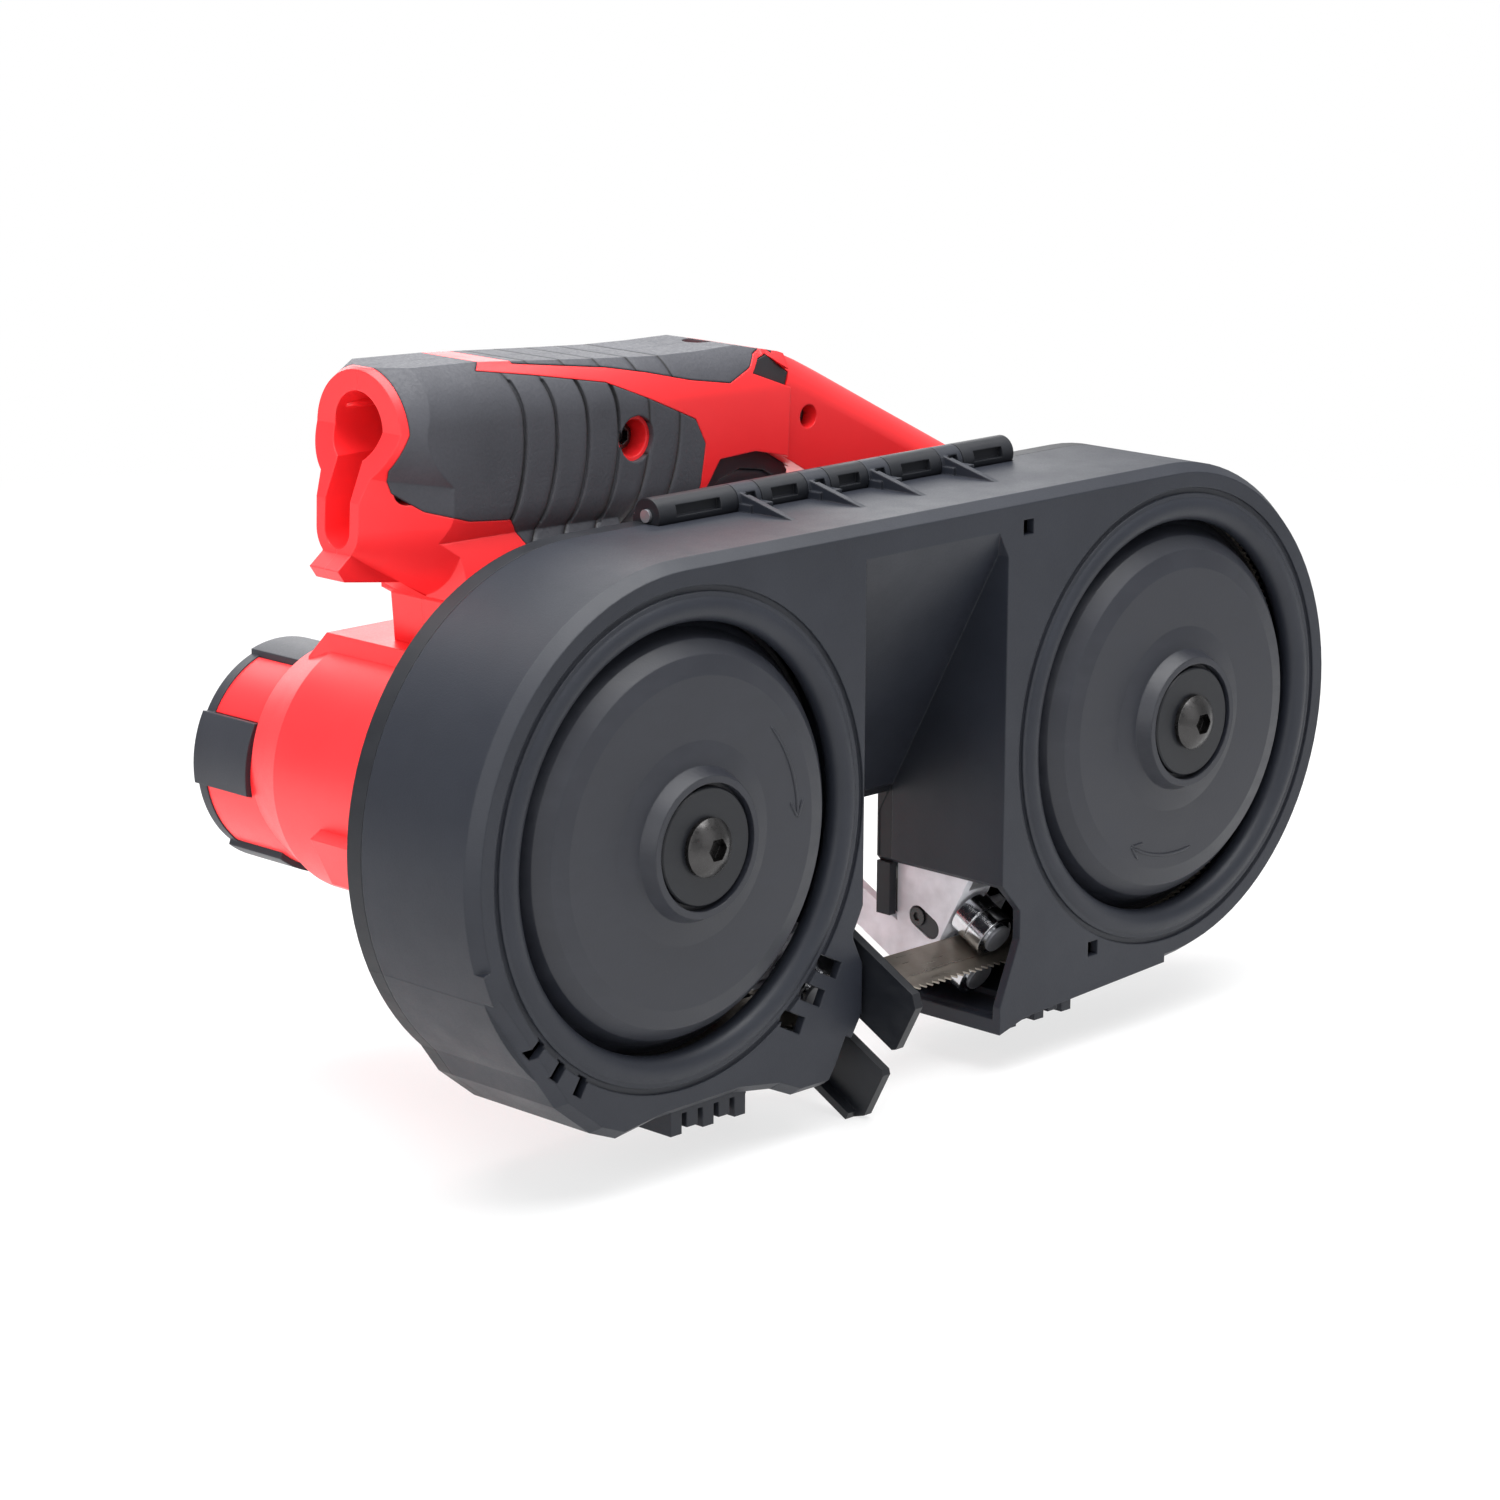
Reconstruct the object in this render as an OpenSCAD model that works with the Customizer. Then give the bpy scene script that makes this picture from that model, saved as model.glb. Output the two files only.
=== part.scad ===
// Compact hand-held band saw. Two wheels run under a hinged front cover, roller guides
// tilt the blade across the throat, and a closed D-handle holds the battery and trigger.
// X runs from the drive wheel to the idler wheel, Y from the front cover to the motor
// and Z up. Everything is worked out about the drive wheel's axis, with y = 0 on the
// cover's front wall, and then stood on the middle of the object's base.

/* [Blade] */
// Length of the blade loop
blade_loop = 685.8; // [680:0.1:692]
// Width of the blade, back edge to tooth tip
blade_w = 12.7; // [11:0.1:13]
// Thickness of the blade
blade_t = 0.5; // [0.4:0.05:0.7]
// Number of teeth round the loop
blade_teeth = 300; // [240:10:320]
// Depth of a gullet between two teeth
gullet = 1.3; // [0.8:0.1:1.6]
// Distance from the cover's front wall to the tooth tips
tooth_y = 8; // [7.6:0.1:9]
// Tilt of the blade between the guides
cut_tilt = 28; // [24:1:32]

/* [Wheels] */
// Distance between the two wheel axes
wheel_gap = 175; // [173:0.5:177]
// Thickness of the rubber tyre
tyre_t = 1.6; // [1.2:0.1:2.2]
// How much wider than the blade a wheel's rim is
rim_over = 1.5; // [1:0.1:2.3]
// Radius of the washer that clamps a wheel
washer_r = 14; // [12:0.5:14.2]
// Thickness of that washer
washer_t = 2.2; // [1.6:0.1:2.6]
// Radius of the wheel bolt's button head
bolt_head_r = 7; // [6:0.5:7.5]
// Radius of the drive shaft
shaft_r = 6; // [5:0.5:6.5]
// Radius of the idler axle
axle_r = 4; // [3.5:0.25:4.5]
// Outer radius of the idler's ball bearings
idler_brg_r = 11; // [10:0.5:12]

/* [Cover] */
// Radius of the housing round each wheel
lobe_r = 65.4; // [64.6:0.1:67]
// Depth of the front cover
cover_d = 37.5; // [37:0.5:40]
// Thickness of the cover's walls
wall = 2.4; // [2:0.1:2.8]
// Radius of the round window in front of each wheel
window_r = 50.7; // [49.5:0.1:51]
// Radius of the round bead at the window's edge
bead_r = 3.6; // [3:0.1:3.8]
// Left side of the throat
throat_x0 = 59.6; // [58.5:0.1:60]
// Right side of the throat
throat_x1 = 110.4; // [110:0.1:112]
// Height at which the sloping throat panel starts
panel_z = 57.3; // [56.5:0.1:58.5]
// Lowest point of the skid fins
skid_z = -72.8; // [-74:0.1:-72]
// Width of the bent slots beside the left window
slot_w = 4.2; // [3.6:0.1:4.4]
// Angle that the cover opens to
cover_open = 100; // [80:5:105]

/* [Frame] */
// Thickness of the rear frame plate
frame_t = 4.8; // [4:0.1:6]
// Radius of a hinge knuckle
knuckle_r = 4.2; // [3.8:0.1:4.4]
// Radius of the hinge pin
hinge_pin_r = 1.6; // [1.3:0.1:1.8]
// Height of the hinge axis over the wheel axis
hinge_z = 67.3; // [67:0.1:68]
// Travel of the idler slide when the blade is slackened
slack = 2.5; // [2:0.25:2.75]

/* [Guides] */
// Radius of a guide roller
roller_r = 6; // [5.5:0.25:6.25]
// Length of a guide roller
roller_l = 10; // [9:0.5:10.5]
// Radius of a back-up bearing
backup_r = 4.5; // [4:0.25:4.75]
// Radius of a guide roller's pin
roller_pin_r = 2.5; // [2:0.25:2.75]
// Width of the recess round the right guide's clamp screw
clamp_w = 5.6; // [5.4:0.1:6]
// Thickness of the guide brackets
bracket_t = 2.5; // [2:0.1:2.6]
// Thickness of the work stop
stop_t = 2.6; // [2:0.1:3]
// Reach of the work stop in front of the blade's centre line
stop_reach = 25; // [20:1:27]

/* [Drive] */
// Module of the planetary gears
gear_m = 1; // [0.95:0.05:1]
// Teeth on the sun pinion
sun_n = 12; // [12:3:12]
// Teeth on each planet gear
planet_n = 18; // [18:3:18]
// Radius of the motor's can
can_r = 22; // [20:0.5:23]
// Length of the motor's can
can_l = 58; // [50:1:60]
// Distance from the cover's front wall to the motor's end
motor_y = 144; // [140:1:148]

/* [Handle] */
// Distance from the cover's front wall to the handle's middle
handle_y = 80; // [79:0.5:82]
// Width of the grip
grip_w = 35.4; // [34:0.2:38]
// Height of the grip
grip_h = 47; // [46:0.5:49]
// Thickness of the rubber on the grip
rubber_t = 1.6; // [1.2:0.1:2]
// Radius of the battery mouth's round top, outside
mouth_top_r = 14.7; // [14:0.1:15.4]
// Radius of the battery mouth's narrow foot, outside
mouth_low_r = 7.2; // [6.8:0.1:7.6]
// Width of the battery socket's round top
socket_w = 16.8; // [16:0.2:18]
// Width of the battery socket's narrow foot
socket_low_w = 8.8; // [8:0.2:9.4]
// Height of the battery socket
socket_h = 36.2; // [34:0.2:37]
// Travel of the trigger
trigger_travel = 4.5; // [3:0.5:5]
// Travel of the lock-off slide to each side
lock_travel = 2.5; // [1.5:0.5:3]

/* [Hidden] */
$fn = 96;

fit = 0.05;                 // radial clearance of a shaft in its bore
gap = 0.3;                  // clearance between pieces that pass each other
blade_seat = 0.1;           // clearance between blade and tyre
blade_r = (blade_loop - 2 * wheel_gap) / (2 * PI);
blade_y = tooth_y + blade_w / 2;
cut_z = -blade_r;
tyre_r = blade_r - blade_t / 2 - blade_seat;
rim_r = tyre_r - tyre_t;
rim_w = blade_w + rim_over;
rim_y0 = tooth_y + 0.8;
rim_y1 = rim_y0 + rim_w;
flange_r = blade_r + 1;
recess_y = -4.3;            // floor of the wheel's washer recess
hub_y1 = 29;
idler_brg_y = [1, 21];      // front faces of the idler's bearings
idler_brg_w = 7;
slide_y0 = 30.9;            // front of the idler slide
frame_y0 = cover_d;
frame_y1 = cover_d + frame_t;
carrier_y = frame_y1 + 8;
gear_y0 = carrier_y + 4.2;
gear_w = 8;
backlash = 0.14;            // share that the gear teeth are slimmed by
ring_n = sun_n + 2 * planet_n;
planet_orbit = gear_m * (sun_n + planet_n) / 2;
case_r = gear_m * ring_n / 2 + 5.6;
case_y1 = gear_y0 + gear_w + 2.2;
can_y0 = case_y1 + 5;
motor_drop = 3;             // the housing's rear end sits this far below the shaft
motor_r = 26.6;
pad_angles = [-10, 90, 170, 250];
guide_x_right = throat_x1 + 8.4;
guide_x_left = throat_x0 - 6.5;
backup_offset = 9.5;
roller_n = roller_r + blade_t / 2 + 0.08;
backup_v = blade_w / 2 + backup_r + 0.12;
flange_v = 8.5;
screw_r = 1.7;
foot_screw_x = [6.5, 9];    // from the side plates to the feet's screws
left_foot_z = -34.2;
right_foot_z = -26;
left_plate_x = throat_x0 - 0.8;
right_plate_x = throat_x1 + 2.7;
stop_x = left_plate_x + bracket_t;
clamp_v = 17.4;             // clamp screw on the right bracket
clamp_n = -1.7;
pivot_x = wheel_gap - 23;
cam_r = 5;
cam_throw = slack / 2;
bolt_front_y = recess_y - washer_t - 4.2;
stop_low = 19.8;            // half height of the work stop across the blade
stop_corner = 2.5;
base_z = blade_point(stop_corner - stop_reach, -stop_low)[1];
base_y = (blade_point(-stop_reach, stop_low - stop_corner)[0] + motor_y) / 2;
strut_z = 34;               // top of the motor's block, where the handle stands
switch_z = 80;              // underside of the switch
stop_screw_v = 13;
stop_screw_n = 7;
head_sink = 1.3;            // depth of the counterbores in the work stop
knuckle_xs = [24, 50.5, 58.5, 74.5, 82.5, 96, 104, 122.7, 130.7, 150];
gusset_xs = [52.3, 76.3, 97.8, 124.5];

// A point (v, n) of the tilted cutting plane as (y, z): v runs backwards along the
// blade's width and n stands square to the blade.
function blade_point(v, n) =
    [blade_y + v * cos(cut_tilt) - n * sin(cut_tilt),
     cut_z + v * sin(cut_tilt) + n * cos(cut_tilt)];

// Moves every edge of a polygon inwards by t. The points run anticlockwise.
function edge_out(p, q) = let (d = q - p) [d[1], -d[0]] / norm(d);
function inset(p, t) = [for (i = [0 : len(p) - 1])
    let (a = p[(i + len(p) - 1) % len(p)], b = p[i], c = p[(i + 1) % len(p)],
         m = edge_out(a, b), n = edge_out(b, c))
    b - (m + n) * t / (1 + m * n)];

// Outline of the lower part of each lobe, as (x, z) points run anticlockwise
left_lobe = [
    [-59.6, -27], [-38.8, -55.6], [-27.8, -64.2], [-19.7, -67.4], [-7, -65.6],
    [18, -65.2], [31, -67.2], [38.3, -70.4], [49.5, -70.4], [52.6, -66], [55.8, -59.8],
    [throat_x0 + 1, -52.2], [throat_x0 + 1, -43.5], [throat_x0 - 3.2, -34.9],
    [throat_x0 - 4.2, -20], [throat_x0, 0], [0, 0]
];
right_lobe = [
    [throat_x1 + 7, -47.5], [throat_x1, -64], [throat_x1, -71], [throat_x1 + 9.6, -68.4],
    [throat_x1 + 30, -67.2], [wheel_gap, -lobe_r], [wheel_gap, 0], [throat_x1, 0],
    [throat_x1, -32.4], [throat_x1 + 7, -40]
];
throat_low = -15;

// Stands the wheel frame on the middle of the object's base
module placed() {
    translate([-wheel_gap / 2, -base_y, -base_z]) children();
}

// Extrudes an (x, z) outline from y0 to y1
module along_y(y0, y1) {
    translate([0, y1, 0]) rotate([90, 0, 0]) linear_extrude(y1 - y0) children();
}

// Extrudes a (y, z) outline from x0 to x1
module along_x(x0, x1) {
    translate([x0, 0, 0]) rotate([90, 0, 90]) linear_extrude(x1 - x0) children();
}

// Turns an (r, y) profile about the Y axis
module turned() {
    rotate([-90, 0, 0]) rotate_extrude() children();
}

module rod_y(r, y0, y1) {
    translate([0, y0, 0]) rotate([-90, 0, 0]) cylinder(r = r, h = y1 - y0);
}

module rod_x(r, x0, x1) {
    translate([x0, 0, 0]) rotate([0, 90, 0]) cylinder(r = r, h = x1 - x0);
}

module block(a, b) {
    translate(a) cube(b - a);
}

// Tilted frame of the cutting span: local Y is the blade's width, local Z its face
module at_cut(x = 0) {
    translate([x, blade_y, cut_z]) rotate([cut_tilt, 0, 0]) children();
}

module rounded_square(w, h, r) {
    for (sx = [-1, 1]) {
        for (sy = [-1, 1]) {
            translate([sx * (w / 2 - r), sy * (h / 2 - r)]) circle(r = r);
        }
    }
    square([w - 2 * r, h], center = true);
    square([w, h - 2 * r], center = true);
}

// Outline of the whole housing, moved inwards by t
module housing_outline(t) {
    difference() {
        union() {
            circle(r = lobe_r - t);
            translate([wheel_gap, 0]) circle(r = lobe_r - t);
            translate([0, -20]) square([wheel_gap, 20 + lobe_r - t]);
            polygon(inset(left_lobe, t));
            polygon(inset(right_lobe, t));
        }
        translate([throat_x0 - t, throat_low - 80 + t])
            square([throat_x1 - throat_x0 + 2 * t, 80]);
    }
    intersection() {
        union() {
            polygon(inset(left_lobe, t));
            polygon(inset(right_lobe, t));
        }
        translate([throat_x0 - 20, -90]) square([throat_x1 - throat_x0 + 40, 90]);
    }
}

// Prism in front of the sloping throat panel, grown by t
module throat_recess(t) {
    run = (panel_z - throat_low) * tan(cut_tilt);
    back = t / cos(cut_tilt);
    corner = 6.5;
    intersection() {
        along_x(throat_x0 - t, throat_x1 + t)
            polygon([[-5, panel_z + t], [back, panel_z + t], [run + back + 3, throat_low - 5.6 + t],
                     [run + back + 3, -95], [-5, -95]]);
        along_y(-5, 60)
            polygon([[throat_x0 - t, panel_z + t], [throat_x0 - t, -95], [throat_x1 + t, -95],
                     [throat_x1 + t, panel_z - corner], [throat_x1 + t - corner * 0.55, panel_z + t]]);
    }
}

// Cuts the bevel round the cover's front edge: cones on the lobes, prisms between
module front_bevel(c, d) {
    for (x = [0, wheel_gap]) {
        intersection() {
            translate([x, 0, 0]) turned()
                polygon([[lobe_r - c, -0.1], [lobe_r + 3, -0.1], [lobe_r + 3, d], [lobe_r, d]]);
            if (x == 0) {
                along_y(-1, d + 1)
                    polygon([[-90, -27.5], [0, 0], [0, 90], [-90, 90]]);
            } else {
                translate([wheel_gap, -1, -lobe_r - 5]) cube([90, d + 2, 2 * lobe_r + 10]);
            }
        }
    }
    along_x(-0.01, wheel_gap + 0.01)
        polygon([[-0.1, lobe_r - c], [d, lobe_r], [d, lobe_r + 3], [-0.1, lobe_r + 3]]);
    for (i = [0 : 9]) {
        p = left_lobe[i];
        q = left_lobe[i + 1];
        o = edge_out(p, q);
        run = norm(q - p);
        translate([p[0], 0, p[1]])
            rotate([0, -atan2(q[1] - p[1], q[0] - p[0]), 0])
            along_x(-0.4, run + 0.4)
            polygon([[-0.1, c], [d, 0], [d, -3], [-0.1, -3]]);
    }
}

module knuckle(i, r) {
    translate([0, cover_d, hinge_z])
        rod_x(r, knuckle_xs[i] + gap / 2, knuckle_xs[i + 1] - gap / 2);
}

module knuckle_room(i) {
    translate([0, cover_d, hinge_z])
        rod_x(knuckle_r + gap + 0.1, knuckle_xs[i] - gap / 2, knuckle_xs[i + 1] + gap / 2);
}

module hinge_bore() {
    translate([0, cover_d, hinge_z])
        rod_x(hinge_pin_r + fit, knuckle_xs[0] - 1, knuckle_xs[9] + 1);
}

// The dark openings along the front of the knuckles
module knuckle_window(i) {
    x = (knuckle_xs[i] + knuckle_xs[i + 1]) / 2;
    half = (knuckle_xs[i + 1] - knuckle_xs[i]) * 0.28;
    block([x - half, cover_d - knuckle_r - 1, hinge_z - 0.4],
          [x + half, cover_d - hinge_pin_r - 0.9, hinge_z + 2.2]);
}

module window_bead(x) {
    translate([x, 0, 0]) turned() {
        translate([window_r + bead_r, bead_r - 0.9]) circle(r = bead_r, $fn = 48);
    }
}

module front_cover() {
    color("#3c3f47") placed() {
        difference() {
            union() {
                difference() {
                    union() {
                        along_y(0, cover_d - 0.1) housing_outline(0);
                        skid_fins(0);
                        skid_fins(119);
                    }
                    front_bevel(2.3, 3.2);
                    throat_recess(0);
                    difference() {
                        along_y(wall, cover_d + 1) housing_outline(wall);
                        throat_recess(wall);
                    }
                    for (x = [0, wheel_gap]) {
                        translate([x, 0, 0]) {
                            rod_y(window_r + bead_r, -1, wall + 1);
                            turned() translate([window_r + 2 * bead_r - 0.1, -1])
                                square([1.5, 1.8]);
                        }
                    }
                    cover_slots();
                    // the side walls stop above the cutting span
                    block([throat_x0 - 11, wall, -74], [throat_x0 + 2, cover_d + 1, -33.4]);
                    block([throat_x1 - 2, wall, -67.3], [throat_x1 + 15, cover_d + 1, -33.4]);
                    block([throat_x1 + wall + 0.1, wall, -34],
                          [throat_x1 + 10, cover_d + 1, -31.2]);
                    for (i = [0 : 2 : 8]) knuckle_room(i);
                }
                window_bead(0);
                window_bead(wheel_gap);
                for (i = [1 : 2 : 7]) {
                    knuckle(i, knuckle_r);
                    block([knuckle_xs[i] + gap / 2, cover_d - 8, lobe_r - wall],
                          [knuckle_xs[i + 1] - gap / 2, cover_d - 0.1, hinge_z]);
                }
                for (x = gusset_xs) {
                    along_x(x - 0.9, x + 0.9)
                        polygon([[14.5, lobe_r - 0.5], [cover_d - 2, lobe_r - 0.5],
                                 [cover_d - 2, hinge_z + 2.8]]);
                }
            }
            hinge_bore();
            for (i = [1 : 2 : 7]) knuckle_window(i);
        }
    }
}

// Cooling and tooling slots through the front wall
module cover_slots() {
    for (a = [220.2, 228.8, 236.8]) {
        rotate([0, -a, 0]) translate([61, 0, 0])
            block([-2.4, -1, -1.5], [2.4, wall + 1, 1.5]);
    }
    for (p = [[117.6, 57.3], [145.9, -55.6]]) {
        block([p[0] - 1.9, -1, p[1] - 1.9], [p[0] + 1.9, wall + 1, p[1] + 1.9]);
    }
    // bent slots beside the left window: start angle and length of the outer half
    for (s = [[-40.4, 5.4], [-48.2, 7.6], [-56.5, 6.4]]) {
        translate([59.4 * cos(s[0]), 0, 59.4 * sin(s[0])]) {
            rotate([0, 27, 0]) block([-0.6, -1, -slot_w / 2], [7, wall + 1, slot_w / 2]);
            translate([7 * cos(27), 0, -7 * sin(27)]) {
                rod_y(slot_w / 2, -1, wall + 1);
                rotate([0, 53, 0]) block([0, -1, -slot_w / 2], [s[1], wall + 1, slot_w / 2]);
            }
        }
    }
}

module skid_fins(x0) {
    block([x0 + 1, 6, -67.8], [x0 + 26, 28, -64]);
    for (i = [0 : 4]) {
        block([x0 + 1 + 5.3 * i, 6, skid_z + (i % 2) * 1.2], [x0 + 4.6 + 5.3 * i, 28, -65]);
    }
}

module rear_frame() {
    rail_z = 10.2;
    color("#33353b") placed() difference() {
        union() {
            difference() {
                along_y(frame_y0, frame_y1) housing_outline(0);
                throat_recess(0.2);
                for (i = [1 : 2 : 7]) knuckle_room(i);
                // clearance for the right guide bracket's arm
                block([throat_x1 - 1, frame_y0 - 1, -75], [throat_x1 + 6.6, frame_y1 + 1, -47.6]);
            }
            // side of the throat beside the right guide
            block([throat_x1, 37.8, -47.5], [throat_x1 + 2.4, frame_y1, -33.7]);
            // bearing boss behind the drive wheel
            rod_y(19, hub_y1 + 2, frame_y1);
            // rails of the idler slide
            for (s = [-1, 1]) {
                z0 = s > 0 ? rail_z : -rail_z - 4;
                block([wheel_gap - 37, 30.6, z0], [wheel_gap + 26, frame_y0 + 1, z0 + 4]);
            }
            block([wheel_gap - 50, 31, -8], [wheel_gap - 46, frame_y0 + 1, 8]);
            for (i = [0 : 2 : 8]) {
                knuckle(i, knuckle_r);
                block([knuckle_xs[i] + gap / 2, frame_y0, 60],
                      [knuckle_xs[i + 1] - gap / 2, frame_y1, hinge_z]);
            }
        }
        hinge_bore();
        for (i = [0 : 2 : 8]) knuckle_window(i);
        for (p = [[left_plate_x - foot_screw_x[0], left_foot_z - 4.5],
                  [right_plate_x + foot_screw_x[1], right_foot_z - 4.5]]) {
            translate([p[0], 0, p[1]]) rod_y(screw_r + fit, frame_y0 - 1, frame_y0 + 3.2);
        }
        rod_y(15, hub_y1 + 4, frame_y1 + 1);
        rod_y(11, hub_y1 + 1, hub_y1 + 5);
        translate([pivot_x, 0, 0]) rod_y(4.5 + fit, frame_y0 - 1, frame_y1 + 1);
    }
}

module hinge_pin() {
    color("#8f9094") placed() translate([0, cover_d, hinge_z])
        rod_x(hinge_pin_r, knuckle_xs[0] - 0.6, knuckle_xs[9] - 2);
}

// Blade path. s runs from the top of the drive wheel round its left side, along the
// cutting span, round the idler wheel and back along the top.
arc_l = PI * blade_r;
function path_x(s) =
    s < arc_l ? -blade_r * sin(s / arc_l * 180)
    : s < arc_l + wheel_gap ? s - arc_l
    : s < 2 * arc_l + wheel_gap ? wheel_gap + blade_r * sin((s - arc_l - wheel_gap) / arc_l * 180)
    : wheel_gap - (s - 2 * arc_l - wheel_gap);
function path_z(s) =
    s < arc_l ? blade_r * cos(s / arc_l * 180)
    : s < arc_l + wheel_gap ? -blade_r
    : s < 2 * arc_l + wheel_gap ? -blade_r * cos((s - arc_l - wheel_gap) / arc_l * 180)
    : blade_r;
// Outward direction of the loop at s, as an angle from +X towards +Z
function path_out(s) =
    s < arc_l ? 90 + s / arc_l * 180
    : s < arc_l + wheel_gap ? 270
    : s < 2 * arc_l + wheel_gap ? 270 + (s - arc_l - wheel_gap) / arc_l * 180
    : 90;
function ease(u) = (1 - cos(180 * min(1, max(0, u)))) / 2;
twist_in = 7;
twist_out = 8;
function twist(s) =
    let (x = s - arc_l)
    (x <= 0 || x >= wheel_gap) ? 0
    : x < wheel_gap / 2
        ? cut_tilt * ease((x - twist_in) / (guide_x_left - backup_offset - 2 - twist_in))
        : cut_tilt * ease((wheel_gap - twist_out - x)
                          / (wheel_gap - twist_out - guide_x_right - backup_offset));
// Four corners of the blade's section at s, its front edge moved back by cut
function blade_ring(s, cut) =
    let (o = path_out(s), t = twist(s), x = path_x(s), z = path_z(s))
    [for (c = [[-blade_w / 2 + cut, 1], [-blade_w / 2 + cut, -1],
               [blade_w / 2, -1], [blade_w / 2, 1]])
        let (v = c[0], h = c[1] * blade_t / 2,
             out = h * cos(t) - v * sin(t), y = blade_y + v * cos(t) + h * sin(t))
        [x + out * cos(o), y, z + out * sin(o)]];

module blade() {
    pitch = blade_loop / blade_teeth;
    rings = [for (i = [0 : blade_teeth - 1])
        for (k = [[0, 0], [0.3, gullet]]) blade_ring((i + k[0]) * pitch, k[1])];
    count = len(rings);
    points = [for (ring = rings) for (p = ring) p];
    faces = [for (i = [0 : count - 1]) for (j = [0 : 3])
        let (a = 4 * i + j, b = 4 * i + (j + 1) % 4,
             c = 4 * ((i + 1) % count) + (j + 1) % 4, d = 4 * ((i + 1) % count) + j)
        for (f = [[a, b, c], [a, c, d]]) f];
    color("#8d877f") placed() polyhedron(points, faces);
}

// Wheel section as (r, y): a dished web between the hub and the rim
module wheel_section(bore) {
    polygon([
        [bore, recess_y], [washer_r + 1, recess_y], [washer_r + 1, -7.1],
        [washer_r + 2.7, -7.1], [washer_r + 4.3, -3.4], [24, -2.4], [39, -2.4],
        [43.6, -1.3], [46.8, 1.6], [49, 6], [rim_r, rim_y0], [rim_r, rim_y1 - 1.8],
        [flange_r, rim_y1 - 1.8], [flange_r, rim_y1], [47.8, rim_y1], [46.6, 11],
        [44.3, 4.6], [41, 1.4], [21, 1.4], [18, 4], [16, hub_y1], [bore, hub_y1]
    ]);
}

module tyre() {
    turned() translate([rim_r, rim_y0 + 0.6]) square([tyre_t, rim_w - 2.6]);
}

module drive_wheel() {
    color("#3a3c42") placed() difference() {
        turned() wheel_section(shaft_r + 0.02);
        // two keys of the shaft
        for (s = [-1, 1]) {
            translate([s * 8.2, 0, 0]) rod_y(2, hub_y1 - 6, hub_y1 + 1);
        }
    }
}

module drive_tyre() {
    color("#202124") placed() tyre();
}

module washer(y1) {
    turned() polygon([[4.2, y1 - washer_t], [washer_r - 0.4, y1 - washer_t],
                      [washer_r, y1 - washer_t + 0.4], [washer_r, y1], [4.2, y1]]);
}

// Button-head bolt with a hexagon socket. It seats at head_y and its shank ends at y1.
module button_bolt(r, head_y, y1) {
    difference() {
        union() {
            intersection() {
                translate([0, head_y + 5.4, 0]) sphere(r = 9.6);
                rod_y(bolt_head_r, head_y - 4.2, head_y);
            }
            rod_y(r, head_y, y1);
        }
        translate([0, head_y - 5, 0]) rotate([-90, 0, 0]) cylinder(r = 2.9, h = 3.6, $fn = 6);
    }
}

module drive_washer() {
    color("#45474d") placed() washer(recess_y);
}

module drive_bolt() {
    color("#5b5c5f") placed() button_bolt(4, recess_y - washer_t, 14);
}

module drive_shaft() {
    color("#9a9b9f") placed() difference() {
        union() {
            rod_y(shaft_r, recess_y, hub_y1);
            rod_y(8.5, hub_y1, carrier_y);
            rod_y(20, carrier_y, gear_y0 - 0.4);
            for (s = [-1, 1]) {
                translate([s * 8.2, 0, 0]) rod_y(2, hub_y1 - 5.8, hub_y1 + 4);
            }
            for (k = [0 : 2]) {
                rotate([0, 120 * k, 0]) translate([planet_orbit, 0, 0])
                    rod_y(2.5, gear_y0 - 1, gear_y0 + gear_w + 0.6);
            }
        }
        rod_y(4, recess_y - 1, 14);
        rod_y(3, gear_y0 - 3, gear_y0);
    }
}

module ball_bearing(r_in, r_out, y0, y1) {
    turned() difference() {
        translate([r_in, y0]) square([r_out - r_in, y1 - y0]);
        for (y = [y0 - 0.6, y1 - 0.4]) {
            translate([r_in + (r_out - r_in) * 0.32, y]) square([(r_out - r_in) * 0.36, 1]);
        }
    }
}

module drive_bearings() {
    color("#b5b7bb") placed() {
        ball_bearing(8.5 + 0.02, 15, hub_y1 + 4.2, hub_y1 + 8.6);
        ball_bearing(8.5 + 0.02, 15, hub_y1 + 8.8, frame_y1);
    }
}

module idler_wheel() {
    color("#3a3c42") placed() translate([wheel_gap, 0, 0]) difference() {
        turned() wheel_section(9);
        rod_y(idler_brg_r, idler_brg_y[0], hub_y1 + 1);
    }
}

module idler_tyre() {
    color("#202124") placed() translate([wheel_gap, 0, 0]) tyre();
}

module idler_bearings() {
    color("#b5b7bb") placed() translate([wheel_gap, 0, 0]) {
        for (y = idler_brg_y) {
            ball_bearing(axle_r + fit, idler_brg_r, y, y + idler_brg_w);
        }
    }
}

module idler_axle() {
    color("#9a9b9f") placed() translate([wheel_gap, 0, 0]) difference() {
        union() {
            rod_y(axle_r, recess_y - gap, 34);
            rod_y(7, idler_brg_y[1] + idler_brg_w, slide_y0);
        }
        rod_y(2.5, recess_y - 1, 10);
    }
}

// Washer with a sleeve that clamps the bearings' inner rings and clears the wheel
module idler_washer() {
    color("#45474d") placed() translate([wheel_gap, 0, 0]) {
        washer(recess_y - gap);
        turned() translate([axle_r + fit, recess_y - gap])
            square([2.2, idler_brg_y[0] - recess_y + gap]);
    }
}

module idler_bolt() {
    color("#5b5c5f") placed() translate([wheel_gap, 0, 0])
        button_bolt(2.5, recess_y - gap - washer_t, 9);
}

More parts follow.
